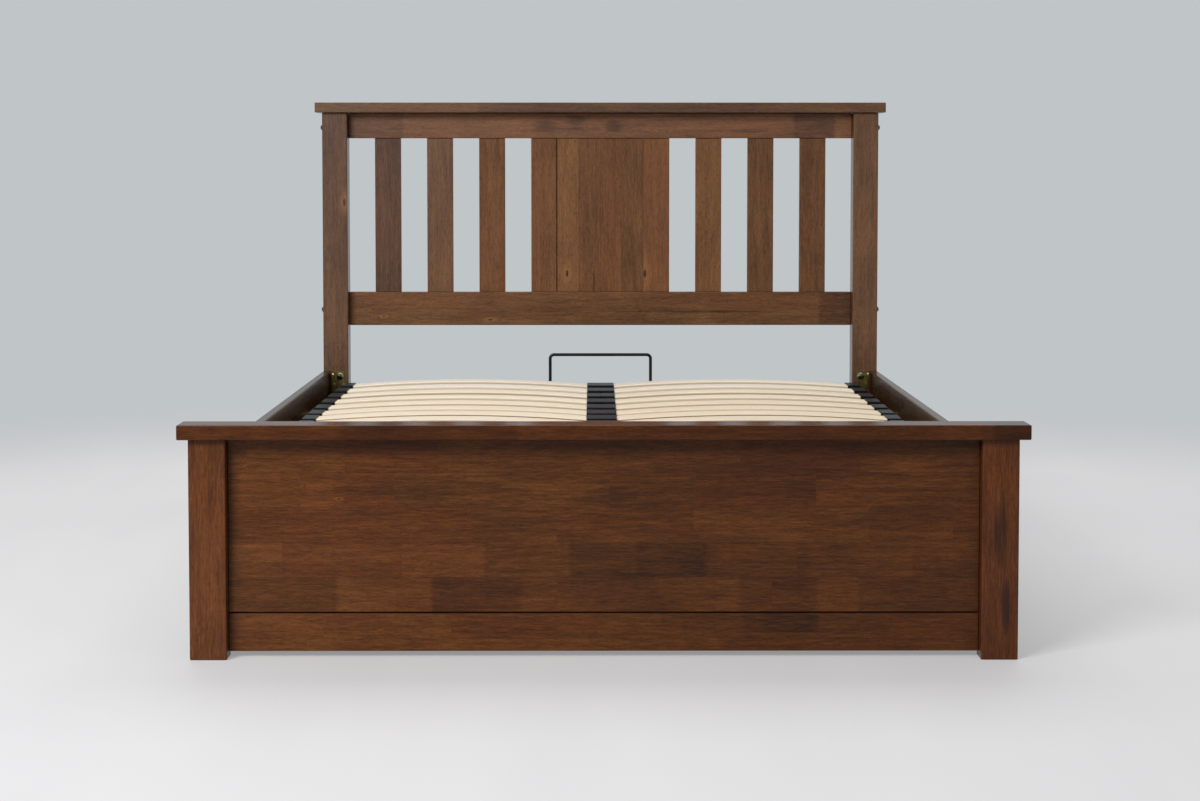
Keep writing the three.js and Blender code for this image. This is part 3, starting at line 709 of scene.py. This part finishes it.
def make_footboard():
    for number, (label, side) in enumerate(SIDES):
        wooden(f"footboard_post_{label}", Z, X, 1, FOOT_POST_WOOD, 131 + 4 * number,
               lean=0.06 - 0.05 * number, streaks=[] if side < 0 else [
                   (0.225, 0.69, 0.08, 0.012, 0.75), (0.095, 0.704, 0.05, 0.012, 0.75)])
    wooden("footboard_cap", X, Y, 2, FOOT_CAP_WOOD, 149, lean=0.04, patches=[
        (-0.456, -0.337, *ALL, -0.16), (-0.337, -0.15, *ALL, -0.06), (-0.15, 0.062, *ALL, 0.1),
        (0.561, 0.677, *ALL, 0.05), (0.677, FAR, *ALL, -0.2)])
    node = "footboard_panel"
    low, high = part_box(node)
    wooden(node, X, Z, 5, FOOT_WOOD, 157, FINE_EDGE, blocks=(0.24, 0.16), lean=0.01, drift=-0.05,
           knots=[(-0.4652, 0.2806, 1.4 * MM)], patches=[
               (-FAR, -0.302, -FAR, 0.142, 0.13), (-0.302, 0.2, -FAR, 0.142, -0.07),
               (-FAR, -0.21, 0.142, 0.2, 0.12), (-0.21, 0.2, 0.142, 0.2, -0.06),
               (-0.645, -0.559, 0.146, 0.17, -0.12), (-0.645, -0.469, low.z, 0.142, -0.18),
               (-0.469, -0.364, low.z, 0.142, 0.03), (-0.64, -0.475, 0.262, 0.326, 0.08),
               (0.056, 0.181, 0.143, 0.203, -0.22), (-0.302, -0.147, low.z, 0.142, -0.1),
               (-0.06, 0.056, 0.143, 0.203, -0.12), (0.181, 0.36, 0.143, 0.203, -0.09),
               (0.239, 0.374, low.z, 0.142, -0.13), (0.542, high.x, 0.143, 0.19, -0.08)],
           streaks=[(0, 0.286, 0.06, 0.025, 0.3), (0.2, 0.33, 0.2, 0.02, 0.2),
                    (-0.35, 0.3, 0.12, 0.02, 0.2), (0.42, 0.24, 0.1, 0.018, 0.22),
                    (0.1, 0.35, 0.6, 0.12, 0.24)])

    # A shadow groove parts the panel from the rail below it
    panel_low = low.z
    rail_top = panel_low - GROOVE
    node = "footboard_bottom_rail"
    low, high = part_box(node)
    wooden(node, X, Z, None, FOOT_WOOD, 163, FINE_EDGE, laid=(rail_top - 0.09, 0.045),
           high={Z: rail_top}, blocks=(0.34, 0.24), lean=0.04, drift=-0.16,
           patches=[(0.1, 0.245, 0.048, high.z, -0.08), (0.245, 0.377, 0.044, high.z, -0.18)])
    middle = (low.y + high.y) / 2
    # The tongue at the back of the groove is stained very dark: painted shade in the groove
    shadow = stained_hardwood("groove_shade_wood", X, Z, (low.z, 0.09), FOOT_WOOD, 167, (0.5, 0.3),
                              lean=-0.4)
    make_board("footboard_groove_tongue",
               (low.x + 3 * MM, middle - GROOVE_TONGUE, rail_top - 1 * MM),
               (high.x - 3 * MM, middle + GROOVE_TONGUE, panel_low + 1 * MM),
               shadow, node, TONGUE_EDGE)

    node = "foot_rest_batten"
    wooden(node, X, Z, None, RAIL_WOOD_AND_SHADE, 173, laid=(0, 0.05), blocks=(0.5, 1))
    low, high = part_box(node)
    middle = (low.z + high.z) / 2
    make_screws("batten_screws", (0, 1, 0), [
        (x, high.y, middle) for x in evenly(low.x, high.x, 0.08, BATTEN_SCREWS)])


def make_side_rail(label, side):
    """A rail with its glued ledge for the storage floor and its two bracket blocks."""
    node = f"side_rail_{label}"
    low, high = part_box(node)
    board_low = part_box("base_board_left")[0]
    bracket_low, bracket_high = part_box("corner_bracket_foot_right")
    ledge_inner, outer = sorted((abs(low.x), abs(high.x)))
    inner = outer - RAIL_THICKNESS
    block_inner = bracket_high.x + GLUE_GAP
    ledge_low = low.z + 3 * MM
    ledge_top = board_low.z - GLUE_GAP
    finish = stained_hardwood(f"{node}_wood", Y, Z, (low.z, (high.z - low.z) / 5), RAIL_WOOD_AND_SHADE,
                              186 if side > 0 else 181, (0.3, 0.6))
    for part, near, far, front, back, bottom, top in (
            ("board", inner, outer, low.y, high.y, low.z, high.z),
            ("ledge", ledge_inner, inner, board_low.y, high.y, ledge_low, ledge_top),
            ("foot_block", block_inner, inner, low.y + GLUE_GAP, low.y + BLOCK_LENGTH,
             bracket_low.z, bracket_high.z),
            ("head_block", block_inner, inner, high.y - BLOCK_LENGTH, high.y - GLUE_GAP,
             bracket_low.z, bracket_high.z)):
        first, last = out_from_middle(near, far, side)
        make_board(f"{node}_{part}", (first, front, bottom), (last, back, top), finish, node,
                   EDGE if part == "board" else FINE_EDGE)
    middle = (ledge_low + ledge_top) / 2
    make_screws(f"ledge_screws_{label}", (-side, 0, 0), [
        (side * ledge_inner, y, middle) for y in evenly(board_low.y, high.y, 0.03, LEDGE_SCREWS)])


def dress_storage_floor():
    """Gives the floor boards and the beam under them, which keep their solids, a finish."""
    beam_wood = stained_hardwood("beam_wood", Y, X, (-0.02, 0.04), RAIL_WOOD_AND_SHADE, 199, (0.5, 1))
    for node, finish in (("base_board_left", FIBREBOARD), ("base_board_right", FIBREBOARD),
                         ("centre_support_beam", beam_wood)):
        materials = frame["nodes"][node].data.materials
        materials.clear()
        materials.append(finish.material)


# Corner brackets and bolt covers

BRACKET_STEEL = 3 * MM
BRACKET_FOLD = 3 * MM
BRACKET_CORNER = 6 * MM
BRACKET_EASE = 0.7 * MM
BRACKET_SCREWS = (0.2, 0.55)
BRACKET_SCREWS_IN = 27 * MM
BOLT_HEIGHT = 0.319
BOLT_HEAD = 7 * MM
BOLT_RISE = 3.4 * MM
BOLT_BORE = BOLT_HEAD * 0.6
WASHER = 9.5 * MM
WASHER_RISE = 2.6 * MM
SOCKET = 2.6 * MM
SOCKET_FLOOR = WASHER_RISE + 1.7 * MM
COVER_RADIUS = 7.5 * MM
COVER_RIM = 1.5 * MM
COVER_DOME = 6.5 * MM
COVER_IN = 33 * MM
COVER_HEIGHTS = (("upper", 0.970), ("lower", 0.493))


def make_bracket_angle(node, free, rail, post, tip, bottom, top):
    """A bent steel angle: its flange lies on the post and its leg on the side rail."""
    side = math.copysign(1, rail - free)
    inward = math.copysign(1, tip - post)
    fold = rail - side * BRACKET_FOLD
    shape = bmesh.new()
    start = shape.verts.new((free, post, bottom))
    bend = shape.verts.new((fold, post, bottom))
    shape.edges.new((start, bend))
    turned = bmesh.ops.spin(shape, geom=[bend], cent=(fold, post + inward * BRACKET_FOLD, bottom),
                            axis=(0, 0, side * inward), angle=math.pi / 2, steps=4,
                            use_merge=False)
    last = only(BMVert, turned["geom_last"])[:1]
    bmesh.ops.extrude_vert_indiv(shape, verts=last)["verts"][0].co.y = tip
    walls = bmesh.ops.extrude_edge_only(shape, edges=shape.edges[:])["geom"]
    move(shape, only(BMVert, walls), (0, 0, top - bottom))
    corners = [vert for vert in shape.verts
               if abs(vert.co.x - free) < 0.01 * MM or abs(vert.co.y - tip) < 0.01 * MM]
    ease(shape, corners, BRACKET_CORNER, 4, "VERTICES")
    bmesh.ops.recalc_face_normals(shape, faces=shape.faces)
    flange = next(face for face in shape.faces if abs(face.normal.y) > 0.99)
    bmesh.ops.solidify(shape, geom=shape.faces[:],
                       thickness=math.copysign(BRACKET_STEEL, -flange.normal.y * inward))
    ease(shape, sharp_edges(shape), BRACKET_EASE, 2)
    finish_piece(shape, f"{node}_angle", ZINC, FRAME, node)


def make_corner_bracket(node, side, inward):
    """An angle with its bolt, washer and screws."""
    low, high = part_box(node)
    free, rail = (low.x, high.x)[::side]
    post, tip = (low.y, high.y)[::inward]
    make_bracket_angle(node, free, rail, post, tip, low.z, high.z)
    inner = rail - side * BRACKET_STEEL
    bolt = (0, inward, 0), ((free + inner) / 2, post + inward * BRACKET_STEEL, BOLT_HEIGHT)
    make_turned(f"{node}_washer", ZINC, FRAME, node, *bolt, [
        (BOLT_BORE, 0), (WASHER, 0), (WASHER, 0.7 * MM), (WASHER - 0.5 * MM, 1.1 * MM),
        (BOLT_HEAD, WASHER_RISE), (BOLT_BORE, WASHER_RISE)])
    rim = [(radius, WASHER_RISE + rise)
           for radius, rise in half_round(BOLT_HEAD - 0.4 * MM, BOLT_RISE) if radius > SOCKET]
    make_turned(f"{node}_bolt", BLACK_BOLT, FRAME, node, *bolt, [
        (0, WASHER_RISE), *rim, (SOCKET, rim[-1][1] + 0.1 * MM), (SOCKET * 0.96, SOCKET_FLOOR),
        (0, SOCKET_FLOOR)])
    y = post + inward * BRACKET_SCREWS_IN
    make_screws(f"{node}_screws", (-side, 0, 0), [
        (inner, y, low.z + share * (high.z - low.z)) for share in BRACKET_SCREWS])


def make_bolt_covers():
    """Domed brown covers over the joint bolts on the head posts' outer faces."""
    low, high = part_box("headboard_post_right")
    dome = [(radius, rise + COVER_RIM) for radius, rise in half_round(COVER_RADIUS, COVER_DOME)]
    for label, side in SIDES:
        for level, height in COVER_HEIGHTS:
            make_turned(f"bolt_cover_{level}_{label}", BROWN_COVER, FRAME, None, (side, 0, 0),
                        (side * high.x, low.y + COVER_IN, height),
                        [(0, 0), (COVER_RADIUS, 0), *dome])


# Sprung slats and holders

SLAT_THICKNESS = 8 * MM
SLAT_CAMBER = 14.6 * MM
SLAT_END_DROP = 4.3 * MM
SLAT_INSERTION = 25 * MM
SLAT_WIDTH = 68 * MM
SLAT_ROUND = 2.4 * MM
SLAT_CUTS = 18
HOLDER_TOP = 0.3045
HOLDER_LOW = 0.2903
HOLDER_MIDDLE = (HOLDER_TOP + HOLDER_LOW) / 2
HOLDER_WIDTH = 76 * MM
HOLDER_ROUND = 1.8 * MM
CENTRE_HOLDER_HALF = 34 * MM
WAIST_RIM = 1.4 * MM
WAIST_IN = 1.5 * MM
WAIST_DEPTH = 0.7 * MM
END_HOLDER_INNER = 0.638
END_HOLDER_OUTER = 0.673
END_HOLDER_SLOPE = 4 * MM
RIB_PITCH = 22 * MM
RIB_HALF = 1.5 * MM
POCKET_WIDTH = 69.2 * MM
POCKET_LOW = 0.2919
POCKET_TOP = 0.3028
POCKET_DEPTH = 27 * MM


def make_slat(number, label, side, y, tone, dark_core_and_shade):
    """One bent slat, its long edges rounded, with its plies, its tone and its dark core, partly
    painted shade, kept on its points.
    """
    inner = CENTRE_HOLDER_HALF - SLAT_INSERTION
    outer = END_HOLDER_INNER + SLAT_INSERTION
    middle = (inner + outer) / 2
    half = (outer - inner) / 2
    top = HOLDER_TOP - SLAT_END_DROP
    low = top - SLAT_THICKNESS
    shape = bmesh.new()
    add_block(shape, (middle - half, y - SLAT_WIDTH / 2, low),
              (middle + half, y + SLAT_WIDTH / 2, top), SLAT_ROUND, 3, X)
    for index in range(1, SLAT_CUTS):
        slice_across(shape, middle - half + index / SLAT_CUTS * 2 * half)
    ply, shade, dark = (shape.verts.layers.float.new(name) for name in ("ply", "tone", "middle"))
    for vert in shape.verts:
        vert[ply] = (vert.co.z - low) / SLAT_THICKNESS
        vert[shade] = tone
        vert[dark] = dark_core_and_shade
        share = (vert.co.x - middle) / half
        vert.co.z += SLAT_CAMBER * (1 - share * share)
        vert.co.x *= side
    finish_piece(shape, f"slat_{number:02d}_{label}", BIRCH, LIFT, f"slat_row_{number:02d}")


def sink_pocket(shape, side):
    """Opens a pocket for a slat's end in the face that looks to one side."""
    face = max(shape.faces, key=lambda item: item.normal.x * side * item.calc_area())
    bmesh.ops.inset_individual(shape, faces=[face], thickness=1 * MM, depth=0)
    middle = face.calc_center_median()
    for vert in face.verts:
        vert.co.y = middle.y + math.copysign(POCKET_WIDTH / 2, vert.co.y - middle.y)
        vert.co.z = POCKET_TOP if vert.co.z > middle.z else POCKET_LOW
    sunk = bmesh.ops.extrude_discrete_faces(shape, faces=[face])["faces"]
    move(shape, sunk[0].verts, (-side * POCKET_DEPTH, 0, 0))


def make_centre_holder(number, y):
    """A double holder: a pocket in each end and a shallow waist in the middle."""
    shape = bmesh.new()
    add_block(shape, (-CENTRE_HOLDER_HALF, y - HOLDER_WIDTH / 2, HOLDER_LOW),
              (CENTRE_HOLDER_HALF, y + HOLDER_WIDTH / 2, HOLDER_TOP), HOLDER_ROUND, 3, X)
    for side in (-1, 1):
        sink_pocket(shape, side)
    for offset in (-WAIST_RIM, WAIST_RIM, 0):
        slice_across(shape, offset)
    for vert in shape.verts:
        if abs(vert.co.x) < 0.1 * MM:
            vert.co.y = y + (vert.co.y - y) * (1 - WAIST_IN / (HOLDER_WIDTH / 2))
            vert.co.z -= WAIST_DEPTH if vert.co.z > HOLDER_MIDDLE else 0
    finish_piece(shape, f"centre_holder_{number:02d}", HOLDER_PLASTIC, LIFT,
                 f"slat_row_{number:02d}")


def make_end_holder(number, label, side, y):
    """An end holder: a cap over the slat's end with three ribs on its sloping outer end."""
    shape = bmesh.new()
    add_block(shape, (END_HOLDER_INNER, y - HOLDER_WIDTH / 2, HOLDER_LOW),
              (END_HOLDER_OUTER, y + HOLDER_WIDTH / 2, HOLDER_TOP), HOLDER_ROUND, 3, X)
    sink_pocket(shape, -1)
    for vert in shape.verts:
        if vert.co.x > END_HOLDER_OUTER - 1 * MM and vert.co.z > HOLDER_MIDDLE:
            vert.co.x -= END_HOLDER_SLOPE
        vert.co.x *= side
    first, last = out_from_middle(END_HOLDER_OUTER - 3.5 * MM, END_HOLDER_OUTER - 0.2 * MM, side)
    for middle in (y - RIB_PITCH, y, y + RIB_PITCH):
        add_block(shape, (first, middle - RIB_HALF, HOLDER_LOW + 0.2 * MM),
                  (last, middle + RIB_HALF, HOLDER_TOP - 6 * MM), 0.5 * MM, 2)
    finish_piece(shape, f"end_holder_{number:02d}_{label}", HOLDER_PLASTIC, LIFT,
                 f"lift_frame_side_{label}")


def make_slat_rows():
    tones = (1.25, 1.0, 0.66, 0.56, 0.38, 0.38, 0.42, 0.38, 0.5, 0.7, 0.46, 0.36, 0.6, 0.5, 0.64)
    # How dark each row's core is: a darker core veneer, with painted shade along the foot of the
    # front edges
    dark_core_and_shade = (0.3, 0.05, 0.5, 0.16, 0.42, 0.22, 1.0, 0.4, 0.2, 0.6, 0.3, 0.7, 0.2, 0.5, 0.3)
    for number, (tone, middle) in enumerate(zip(tones, dark_core_and_shade), start=1):
        low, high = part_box(f"slat_row_{number:02d}")
        y = (low.y + high.y) / 2
        make_centre_holder(number, y)
        for index, (label, side) in enumerate(SIDES):
            # The right-hand slat of each row gets a lower tone: painted shade, as the light falls
            # from the left
            make_slat(number, label, side, y, tone - 0.2 * index, middle)
            make_end_holder(number, label, side, y)


# Lift frame and mattress retainer

TUBE = 30 * MM
TUBE_WALL = 2 * MM
TUBE_ROUND = 2.6 * MM
TUBE_HOLLOW = 40 * MM
PLUG_CAP = 2.6 * MM
WELD = 1.7 * MM
ROD_WELD = 1.5 * MM
# How far a weld bead stops short of a corner, and stands off the tube
WELD_SHORT = 3 * MM
WELD_OFF = 0.2 * MM
ROD = 4 * MM
ROD_BEND = 10 * MM


def make_tube(name, low, high, axis, node):
    """A welded square tube with rounded corners and open ends."""
    shape = bmesh.new()
    add_block(shape, low, high, TUBE_ROUND, 4, axis)
    ends = [face for face in shape.faces if abs(face.normal[axis]) > 0.99]
    bmesh.ops.inset_individual(shape, faces=ends, thickness=TUBE_WALL, depth=0)
    middle = (Vector(low) + Vector(high)) / 2
    for face in bmesh.ops.extrude_discrete_faces(shape, faces=ends)["faces"]:
        inwards = Vector()
        inwards[axis] = math.copysign(TUBE_HOLLOW, (middle - face.calc_center_median())[axis])
        move(shape, face.verts, inwards)
    finish_piece(shape, name, BLACK_STEEL, LIFT, node)


def make_end_plug(name, middle, direction, node):
    """A plastic plug with a rounded cap that closes a tube's end."""
    shape = bmesh.new()
    half = TUBE / 2 - 0.2 * MM
    add_block(shape, (-half, -half, 0.1 * MM), (half, half, PLUG_CAP), 1.2 * MM)
    bmesh.ops.transform(shape, matrix=facing(direction, middle), verts=shape.verts)
    finish_piece(shape, name, HOLDER_PLASTIC, LIFT, node)


def upright_seams(xs, ys, bottom, top):
    """Seams that run up a tube's corners, from a little over its bottom."""
    return [((x, y, bottom + WELD_SHORT), (x, y, top)) for x in xs for y in ys]


def make_welds(name, seams, radius=WELD):
    """Weld beads: a row of overlapping drops along each seam."""
    shape = bmesh.new()
    for start, end in seams:
        start = Vector(start)
        end = Vector(end)
        drops = max(2, round((end - start).length / (radius * 1.1)))
        for index in range(drops + 1):
            made = bmesh.ops.create_icosphere(shape, subdivisions=1, radius=radius)["verts"]
            move(shape, made, start.lerp(end, index / drops))
    finish_piece(shape, name, BLACK_STEEL, LIFT, sharp=80)


def make_lift_frame():
    bar_low, bar_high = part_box("lift_frame_foot_bar")
    height = (bar_low.z + bar_high.z) / 2
    weld_top = bar_high.z - WELD_SHORT
    for label, side in SIDES:
        node = f"lift_frame_side_{label}"
        low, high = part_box(node)
        first, last = out_from_middle(END_HOLDER_OUTER - TUBE, END_HOLDER_OUTER, side)
        make_tube(f"lift_frame_{label}_tube", (first, low.y, bar_low.z),
                  (last, high.y, bar_high.z), Y, node)
        for end, y, direction in (("foot", low.y, -1), ("head", high.y, 1)):
            make_end_plug(f"tube_plug_{end}_{label}", ((first + last) / 2, y, height),
                          (0, direction, 0), node)
    for end in ("foot", "head"):
        node = f"lift_frame_{end}_bar"
        low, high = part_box(node)
        make_tube(f"{node}_tube", low, high, X, node)
        xs = (-high.x - WELD_OFF, high.x + WELD_OFF)
        below = [((x, low.y + WELD_SHORT, low.z), (x, high.y - WELD_SHORT, low.z)) for x in xs]
        make_welds(f"frame_welds_{end}",
                   below + upright_seams(xs, (low.y, high.y), low.z, weld_top))
    node = "lift_frame_centre_rail"
    low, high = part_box(node)
    make_tube("lift_frame_centre_tube", low, high, Y, node)
    make_welds("frame_welds_centre", upright_seams(
        (low.x, high.x), (low.y - WELD_OFF, high.y + WELD_OFF), low.z, weld_top))


def make_retainer():
    """The bent rod at the head end, drawn along its path: up, round, across, round and down."""
    low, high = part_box("mattress_retainer")
    y = (low.y + high.y) / 2
    half = high.x - ROD
    rise = high.z - ROD - ROD_BEND
    shape = bmesh.new()
    ring = bmesh.ops.create_circle(shape, cap_ends=True, segments=20, radius=ROD)["verts"]
    move(shape, ring, (-half, y, low.z))

    def reach_on(faces, step):
        grown = bmesh.ops.extrude_face_region(shape, geom=faces)["geom"]
        move(shape, only(BMVert, grown), step)
        return only(BMFace, grown)

    def bend_on(faces, x):
        turned = bmesh.ops.spin(shape, geom=faces, cent=(x, y, rise), axis=(0, 1, 0),
                                angle=math.pi / 2, steps=8, use_merge=False)
        return only(BMFace, turned["geom_last"])

    end = reach_on([ring[0].link_faces[0]], (0, 0, rise - low.z))
    end = bend_on(end, ROD_BEND - half)
    end = reach_on(end, (2 * (half - ROD_BEND), 0, 0))
    end = bend_on(end, half - ROD_BEND)
    reach_on(end, (0, 0, low.z - rise))
    finish_piece(shape, "mattress_retainer_rod", GLOSS_BLACK, LIFT, "mattress_retainer", sharp=60)

    bar_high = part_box("lift_frame_head_bar")[1]
    make_welds("retainer_welds", upright_seams(
        (-half - ROD, ROD - half, half - ROD, half + ROD), [bar_high.y + 0.6 * MM],
        low.z, bar_high.z - 4 * MM), ROD_WELD)


# Hinges and gas struts: first how far out from the middle line their parts lie

PLATE_INNER = 0.7017
PLATE_OUTER = 0.7047
ARM_INNER = 0.6733
ARM_OUTER = 0.6773
STRUT_PLANE = 0.6895
ARM_TAIL_HEIGHT = 0.281
EYE_HALF = 4 * MM
STUD = 4 * MM
PIN = 10 * MM
PIN_EASE = 0.8 * MM
RUNNING_GAP = 0.3 * MM
PLATE_SCREWS = ((12, -38), (34, -58), (-60, -72), (-120, -128))


def joint_place(name):
    return Vector(next(joint["pos_m"] for joint in frame["joints"] if joint["name"] == name))


def make_plate(name, finish, body, node, inner, outer, side, circles):
    """A flat plate drawn tight round circles (y, z, radius), with its edge eased."""
    shape = bmesh.new()
    discs = []
    for y, z, radius in circles:
        made = bmesh.ops.create_cone(shape, cap_ends=True, segments=40, radius1=radius,
                                     radius2=radius, depth=outer - inner)["verts"]
        matrix = facing((1, 0, 0), (side * (inner + outer) / 2, y, z))
        bmesh.ops.transform(shape, matrix=matrix, verts=made)
        discs += made
    hull = bmesh.ops.convex_hull(shape, input=discs, use_existing_faces=False)
    spare = only(BMVert, hull["geom_interior"] + hull["geom_unused"])
    bmesh.ops.delete(shape, geom=spare, context="VERTS")
    bmesh.ops.delete(shape, geom=list(set(hull["geom_holes"])), context="FACES")
    bmesh.ops.dissolve_limit(shape, angle_limit=math.radians(1), verts=shape.verts,
                             edges=shape.edges)
    bmesh.ops.recalc_face_normals(shape, faces=shape.faces)
    ease(shape, sharp_edges(shape), 0.5 * MM, 2)
    finish_piece(shape, name, finish, body, node)


def make_hinge(label, side):
    """A plate on the side rail and an arm on the lift frame, joined by a pin, with strut studs."""
    pivot = joint_place("platform_lift")
    foot = joint_place(f"{label}_cylinder_pivot")
    head = joint_place(f"{label}_rod_pivot")
    plate = f"hinge_plate_{label}"
    arm = f"lift_arm_{label}"
    make_plate(f"{plate}_steel", ZINC, FRAME, plate, PLATE_INNER, PLATE_OUTER, side, [
        (foot.y, foot.z, 14 * MM), (pivot.y + 40 * MM, pivot.z - 60 * MM, 16 * MM),
        (pivot.y, pivot.z, 26 * MM)])
    make_plate(f"{arm}_steel", BLACK_STEEL, LIFT, arm, ARM_INNER, ARM_OUTER, side, [
        (head.y, head.z, 13 * MM), (pivot.y, pivot.z, 17 * MM),
        (pivot.y + 30 * MM, ARM_TAIL_HEIGHT, 6 * MM)])

    # The pin's head lies inside the arm, and its shoulder between arm and plate
    cap = ARM_INNER - 3.3 * MM
    seat = ARM_INNER - RUNNING_GAP
    shoulder = ARM_OUTER + RUNNING_GAP
    neck = PIN - PIN_EASE
    make_turned(f"hinge_pin_{label}", ZINC, FRAME, plate, (side, 0, 0), pivot,
                [(0, cap), (neck, cap), (PIN, cap + PIN_EASE), (PIN, seat), (0, seat)],
                [(0, shoulder), (PIN, shoulder), (PIN, ARM_OUTER + 2 * MM),
                 (neck, ARM_OUTER + 2.6 * MM), (neck, PLATE_INNER), (0, PLATE_INNER)])
    for end, pin, start, stop, finish, body, node in (
            ("foot", foot, STRUT_PLANE - EYE_HALF - 0.4 * MM, PLATE_INNER, ZINC, FRAME, plate),
            ("head", head, ARM_OUTER, STRUT_PLANE + EYE_HALF + 0.2 * MM, BLACK_STEEL, LIFT, arm)):
        make_turned(f"strut_{end}_stud_{label}", finish, body, node, (side, 0, 0),
                    (0, pin.y, pin.z),
                    [(0, start), (STUD - 0.5 * MM, start), (STUD, start + 0.5 * MM),
                     (STUD, stop), (0, stop)], steps=20)
    make_screws(f"hinge_screws_{label}", (-side, 0, 0), [
        (side * PLATE_INNER, pivot.y + y * MM, pivot.z + z * MM) for y, z in PLATE_SCREWS])


def make_strut(label, side):
    """A gas strut between its two pivots: a painted cylinder with rolled mouth and a bright rod."""
    foot = joint_place(f"{label}_cylinder_pivot")
    head = joint_place(f"{label}_rod_pivot")
    foot.x = head.x = side * STRUT_PLANE
    # The profiles below are in millimetres
    length = (head - foot).length / MM
    wall = 9
    bore = 7.5
    lip = length - 24.5
    mouth = lip - 8
    cylinder = [(0, 7), (4, 7), (4, 13), (6.5, 13.5), (wall - 1, 15), (wall, 16.5),
                (wall, mouth - 9), (wall - 1, mouth - 7.5), (wall - 1, mouth - 6.5),
                (wall, mouth - 5), (wall, lip - 2), (wall - 0.7, lip - 0.7), (wall - 2.5, lip),
                (4.5, lip), (4.5, mouth), (bore, mouth), (bore, 24), (0, 24)]
    end = length - 25.5
    piston = bore - 0.3
    rod = [(0, 10), (4, 10), (4, end - 8), (piston, end - 8), (piston, end), (0, end)]
    neck = [(0, 8.6), (5, 8.6), (5, 13), (0, 13)]
    nut = [(0, 8.6), (6.4, 8.6), (6.4, 18), (5.6, 19), (4.1, 19), (4.1, 14), (0, 14)]
    eye = [(4.3, -4), (9.2, -4), (10, -3.2), (10, 3.2), (9.2, 4), (4.3, 4)]
    ends = (("foot", "cylinder", STRUT_PAINT, foot, head - foot, cylinder, neck, 24),
            ("head", "rod", CHROME, head, foot - head, rod, nut, 6))
    for _, part, finish, place, line, profile, _, _ in ends:
        make_turned(f"gas_strut_{part}_{label}", finish, f"{label}_{part}",
                    f"strut_{part}_{label}", line, place, in_mm(profile))
    for end, part, _, place, line, _, shank, steps in ends:
        shape = bmesh.new()
        add_turned(shape, (1, 0, 0), place, in_mm(eye))
        add_turned(shape, line, place, in_mm(shank), steps)
        finish_piece(shape, f"strut_eye_{end}_{label}", HOLDER_PLASTIC, f"{label}_{part}",
                     f"strut_{part}_{label}")


make_camera()
make_world()
make_floor()
make_lamp("window", (-2.5, -4.3, 2.7), (0, 0.2, 0.5), 2.2, 1.6, 224)
make_lamp("fill", (2.8, -3.6, 1.6), (0, 0, 0.5), 2.0, 2.0, 12)
make_lamp("ceiling", (0, 1.2, 3.2), (0, 0.7, 0), 3.6, 2.6, 76)
make_headboard()
make_footboard()
for label, side in SIDES:
    make_side_rail(label, side)
for end, inward in (("foot", 1), ("head", -1)):
    for label, side in SIDES:
        make_corner_bracket(f"corner_bracket_{end}_{label}", side, inward)
make_bolt_covers()
dress_storage_floor()
make_slat_rows()
make_lift_frame()
make_retainer()
for make in (make_hinge, make_strut):
    for label, side in SIDES:
        make(label, side)
